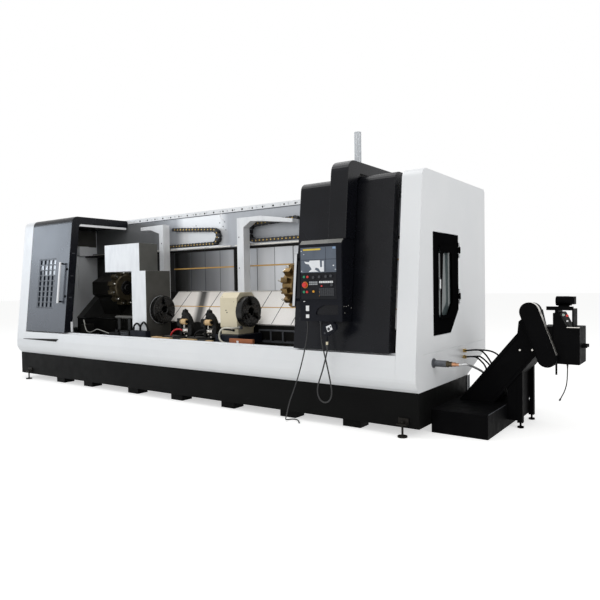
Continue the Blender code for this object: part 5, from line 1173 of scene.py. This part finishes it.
def right_end():
    """Frame round the end door's window, its latch, the coolant fitting and the hoses beside the conveyor."""
    outer = [(0.455, 1.755), (0.815, 1.755), (0.815, 1.045), (0.60, 1.045), (0.455, 1.045)]
    inner = [(0.525, 1.677), (0.746, 1.684), (0.773, 1.196), (0.638, 1.075), (0.476, 1.084)]
    form("end_door_window_frame", "door_paint", add_ring,
         [(rounded(outer, 0.004), rounded(inner, 0.03), "x", 6.7435, 6.7488)], body="end_door", bevel=0.0008)
    body = blocks("end_door_latch", "white_plastic", [((6.7472, 0.424, 1.336), (6.7575, 0.446, 1.424))],
                  body="end_door", bevel=0.003)
    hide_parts("end_door_handle")
    blocks("end_door_latch_plate", "key_dark", [((6.7465, 0.416, 1.318), (6.7505, 0.454, 1.442))],
           body="end_door", bevel=0.002)
    y, z = 0.33, 0.64
    ribs = [(0.022 + 0.009 * step + shift, radius) for step in range(12)
            for shift, radius in ((0.0, 0.0275), (0.0045, 0.0315))]
    profile = [(0.0, 0.0449), (0.010, 0.0449), (0.011, 0.030), (0.020, 0.030), *ribs, (0.131, 0.028)]
    body = form("coolant_outlet_tube", "fitting_grey", add_lathe, [((END_FACE, y, z), (1, 0, 0), profile)])
    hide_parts("coolant_fitting")
    rods("coolant_outlet_nut", "dark_bronze", [((6.850, y, z), (6.872, y, z), 0.031, 6),
                                               ((6.872, y, z), (6.905, y, z), 0.024, 24)], bevel=0.003)
    rods("coolant_outlet_tip", "copper", [((6.904, y, z), (6.935, y, z), 0.020, 24),
                                          ((6.934, y, z), (6.969, y, z), 0.0145, 24)], bevel=0.002)
    run = smooth_route([(6.955, 0.33, 0.64), (6.99, 0.335, 0.643), (7.026, 0.40, 0.638), (7.025, 0.62, 0.578),
                        (7.017, 0.80, 0.525), (7.010, 0.88, 0.498), (7.015, 0.91, 0.47)], 50)
    pipe("coolant_hose", run, 0.0115, "braided_hose")
    # Depth of the free run of each black hose, its first two places, then (x, z) of the rest
    hoses = [
        (1.12, (6.735, 1.133, 0.675), (6.873, 1.122, 0.690), (7.0, 0.687), (7.081, 0.650), (7.105, 0.59)),
        (1.08, (6.735, 1.118, 0.675), (6.89, 1.085, 0.695), (6.962, 0.658), (7.027, 0.565), (7.04, 0.51)),
        (1.12, (6.735, 1.131, 0.609), (6.845, 1.12, 0.621), (6.907, 0.619), (6.994, 0.543), (7.01, 0.48)),
        (1.08, (6.735, 1.116, 0.609), (6.859, 1.085, 0.621), (6.935, 0.57), (6.971, 0.515), (6.98, 0.46)),
    ]
    for number, (depth, first, second, *rest) in enumerate(hoses, 1):
        route = [first, second] + [(x, depth, height) for x, height in rest]
        pipe(f"conveyor_hose_{number}", smooth_route(route, 36), 0.0085, "black_rubber")
    rods("conveyor_hose_fittings", "brass", [((END_FACE, 1.126, 0.675), (6.752, 1.126, 0.676), 0.019, 6),
                                             ((END_FACE, 1.124, 0.609), (6.752, 1.124, 0.610), 0.019, 6)],
         bevel=0.002)
    blocks("end_cover_plates", "fitting_grey", [
        ((END_FACE, 1.215, 0.235), (6.727, 1.248, 0.402)),
        ((END_FACE, 1.262, 0.235), (6.727, 1.300, 0.402))], bevel=0.001)


# Chip conveyor

CONVEYOR_FRONT = 0.84
CONVEYOR_BACK = 1.32


def conveyor():
    """Lips of the trough, the chain guard with a painted highlight strip on its edge, and trim of the drum,
    motor and cabinet, with a painted highlight strip on the tank's top edge.
    """
    foot, top = Vector((6.80, 0.24)), Vector((7.346, 0.903))
    guard_foot, guard_top = Vector((7.62, 0.69)), Vector((7.466, 1.11))
    along = (top - foot).normalized()
    across = Vector((along.y, -along.x))
    trim = bmesh.new()
    for low, high in ((CONVEYOR_FRONT - 0.012, CONVEYOR_FRONT + 0.02), (CONVEYOR_BACK - 0.02, CONVEYOR_BACK)):
        start, end = foot + along * 0.06, top - along * 0.02
        for shift, width in ((0.0, 0.03), (0.235, 0.025)):
            first, last = start + across * shift, end + across * shift
            corners = (first, last, last + across * width, first + across * width)
            add_plate(trim, [tuple(corner) for corner in corners], "y", low, high)
    piece("conveyor_trough_trim", trim, "conveyor_paint", bevel=0.003)
    run = guard_top - guard_foot
    slope = math.degrees(math.atan2(run.y, run.x))
    front = CONVEYOR_FRONT - 0.0703

    def pill(radius):
        return (arc(guard_top, radius, slope - 90, slope + 90, 20)
                + arc(guard_foot, radius, slope + 90, slope + 270, 20))

    def right_side(reach):
        foot_point = guard_foot + Vector((run.y, -run.x)).normalized() * reach
        return [tuple(foot_point)] + [tuple(Vector(point)) for point in
                                      arc(guard_top, reach, slope - 90, slope + 35, 18)]

    body = form("chain_guard_cover", "conveyor_paint", add_plate, [
        (pill(0.087), "y", front + 0.006, CONVEYOR_FRONT - SEAT), (pill(0.074), "y", front, front + 0.01)],
        bevel=0.004)
    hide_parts("chain_guard")
    # Painted highlight: a silver strip along the guard's top and right edge, where it catches the light.
    form("chain_guard_painted_highlight", "satin_silver", add_plate, [
        (right_side(0.0885) + right_side(0.0865)[::-1], "y", front + 0.012, CONVEYOR_FRONT - 0.004)])
    rods("conveyor_bolts", "satin_silver", [
        ((x, CONVEYOR_FRONT - 0.009, z), (x, CONVEYOR_FRONT + 0.001, z), 0.010, 6)
        for x, z in ((7.427, 0.983), (7.37, 0.746), (7.482, 0.752))], bevel=0.001)
    profile = [(0.0, 0.083), (0.012, 0.083), (0.013, 0.078), (0.078, 0.078), (0.079, 0.083), (0.0895, 0.083)]
    centre = (guard_top.x, CONVEYOR_FRONT + 0.0005, guard_top.y)
    form("conveyor_drum", "conveyor_paint", add_lathe, [(centre, (0, 1, 0), profile, 48)], bevel=0.001)
    rods("conveyor_motor_ribs", "conveyor_paint", [
        ((7.676 + 0.012 * step, 0.9505, 1.207), (7.680 + 0.012 * step, 0.9505, 1.207), 0.0445, 28)
        for step in range(9)])
    # Painted highlight: a grey strip along the top edge of the black tank.
    blocks("tank_edge_painted_highlight", "fitting_grey", [((7.2385, 0.30, 0.2152), (7.2455, 0.80, 0.2185))], bevel=0.001)
    face = 0.8395
    blocks("cabinet_ledge_strip", "satin_silver", [((7.778, 0.832, 0.969), (7.884, face, 0.976))],
           bevel=0.001)
    rods("cabinet_red_button", "button_red", [((7.784, face, 1.078), (7.784, 0.826, 1.078), 0.011, 20)],
         bevel=0.002)
    rods("cabinet_selector", "white_plastic", [((7.752, face, 1.084), (7.752, 0.830, 1.084), 0.010, 20),
                                               ((7.784, face, 1.030), (7.784, 0.830, 1.030), 0.008, 20)],
         bevel=0.001)
    rods("cabinet_selector_lamp", "button_green",
         [((7.752, 0.8305, 1.084), (7.752, 0.8285, 1.084), 0.006, 16)])
    rods("conveyor_post_mark", "white_plastic", [((7.3935, 1.07, 0.25), (7.396, 1.07, 0.25), 0.010, 16)])


make_camera()
make_world()
make_floor()
make_lights()
free_cables()
dress_nodes()
energy_chain(1, 3.205, 2.40, 2.31, 0.098, 0.048)
energy_chain(2, 3.975, 4.66, 5.30, 0.108, 0.034)
turret(1, 1.55, 1)
turret(2, 4.95, -1)
steady_rest(1, 3.06)
steady_rest(2, 3.49)
left_hood()
left_interior()
rear_covers()
upper_panel()
headstocks()
chuck(1, 2.721, 0.080, "chuck_1")
chuck(2, 4.256, 0.090, "chuck_2")
control()
right_end()
conveyor()
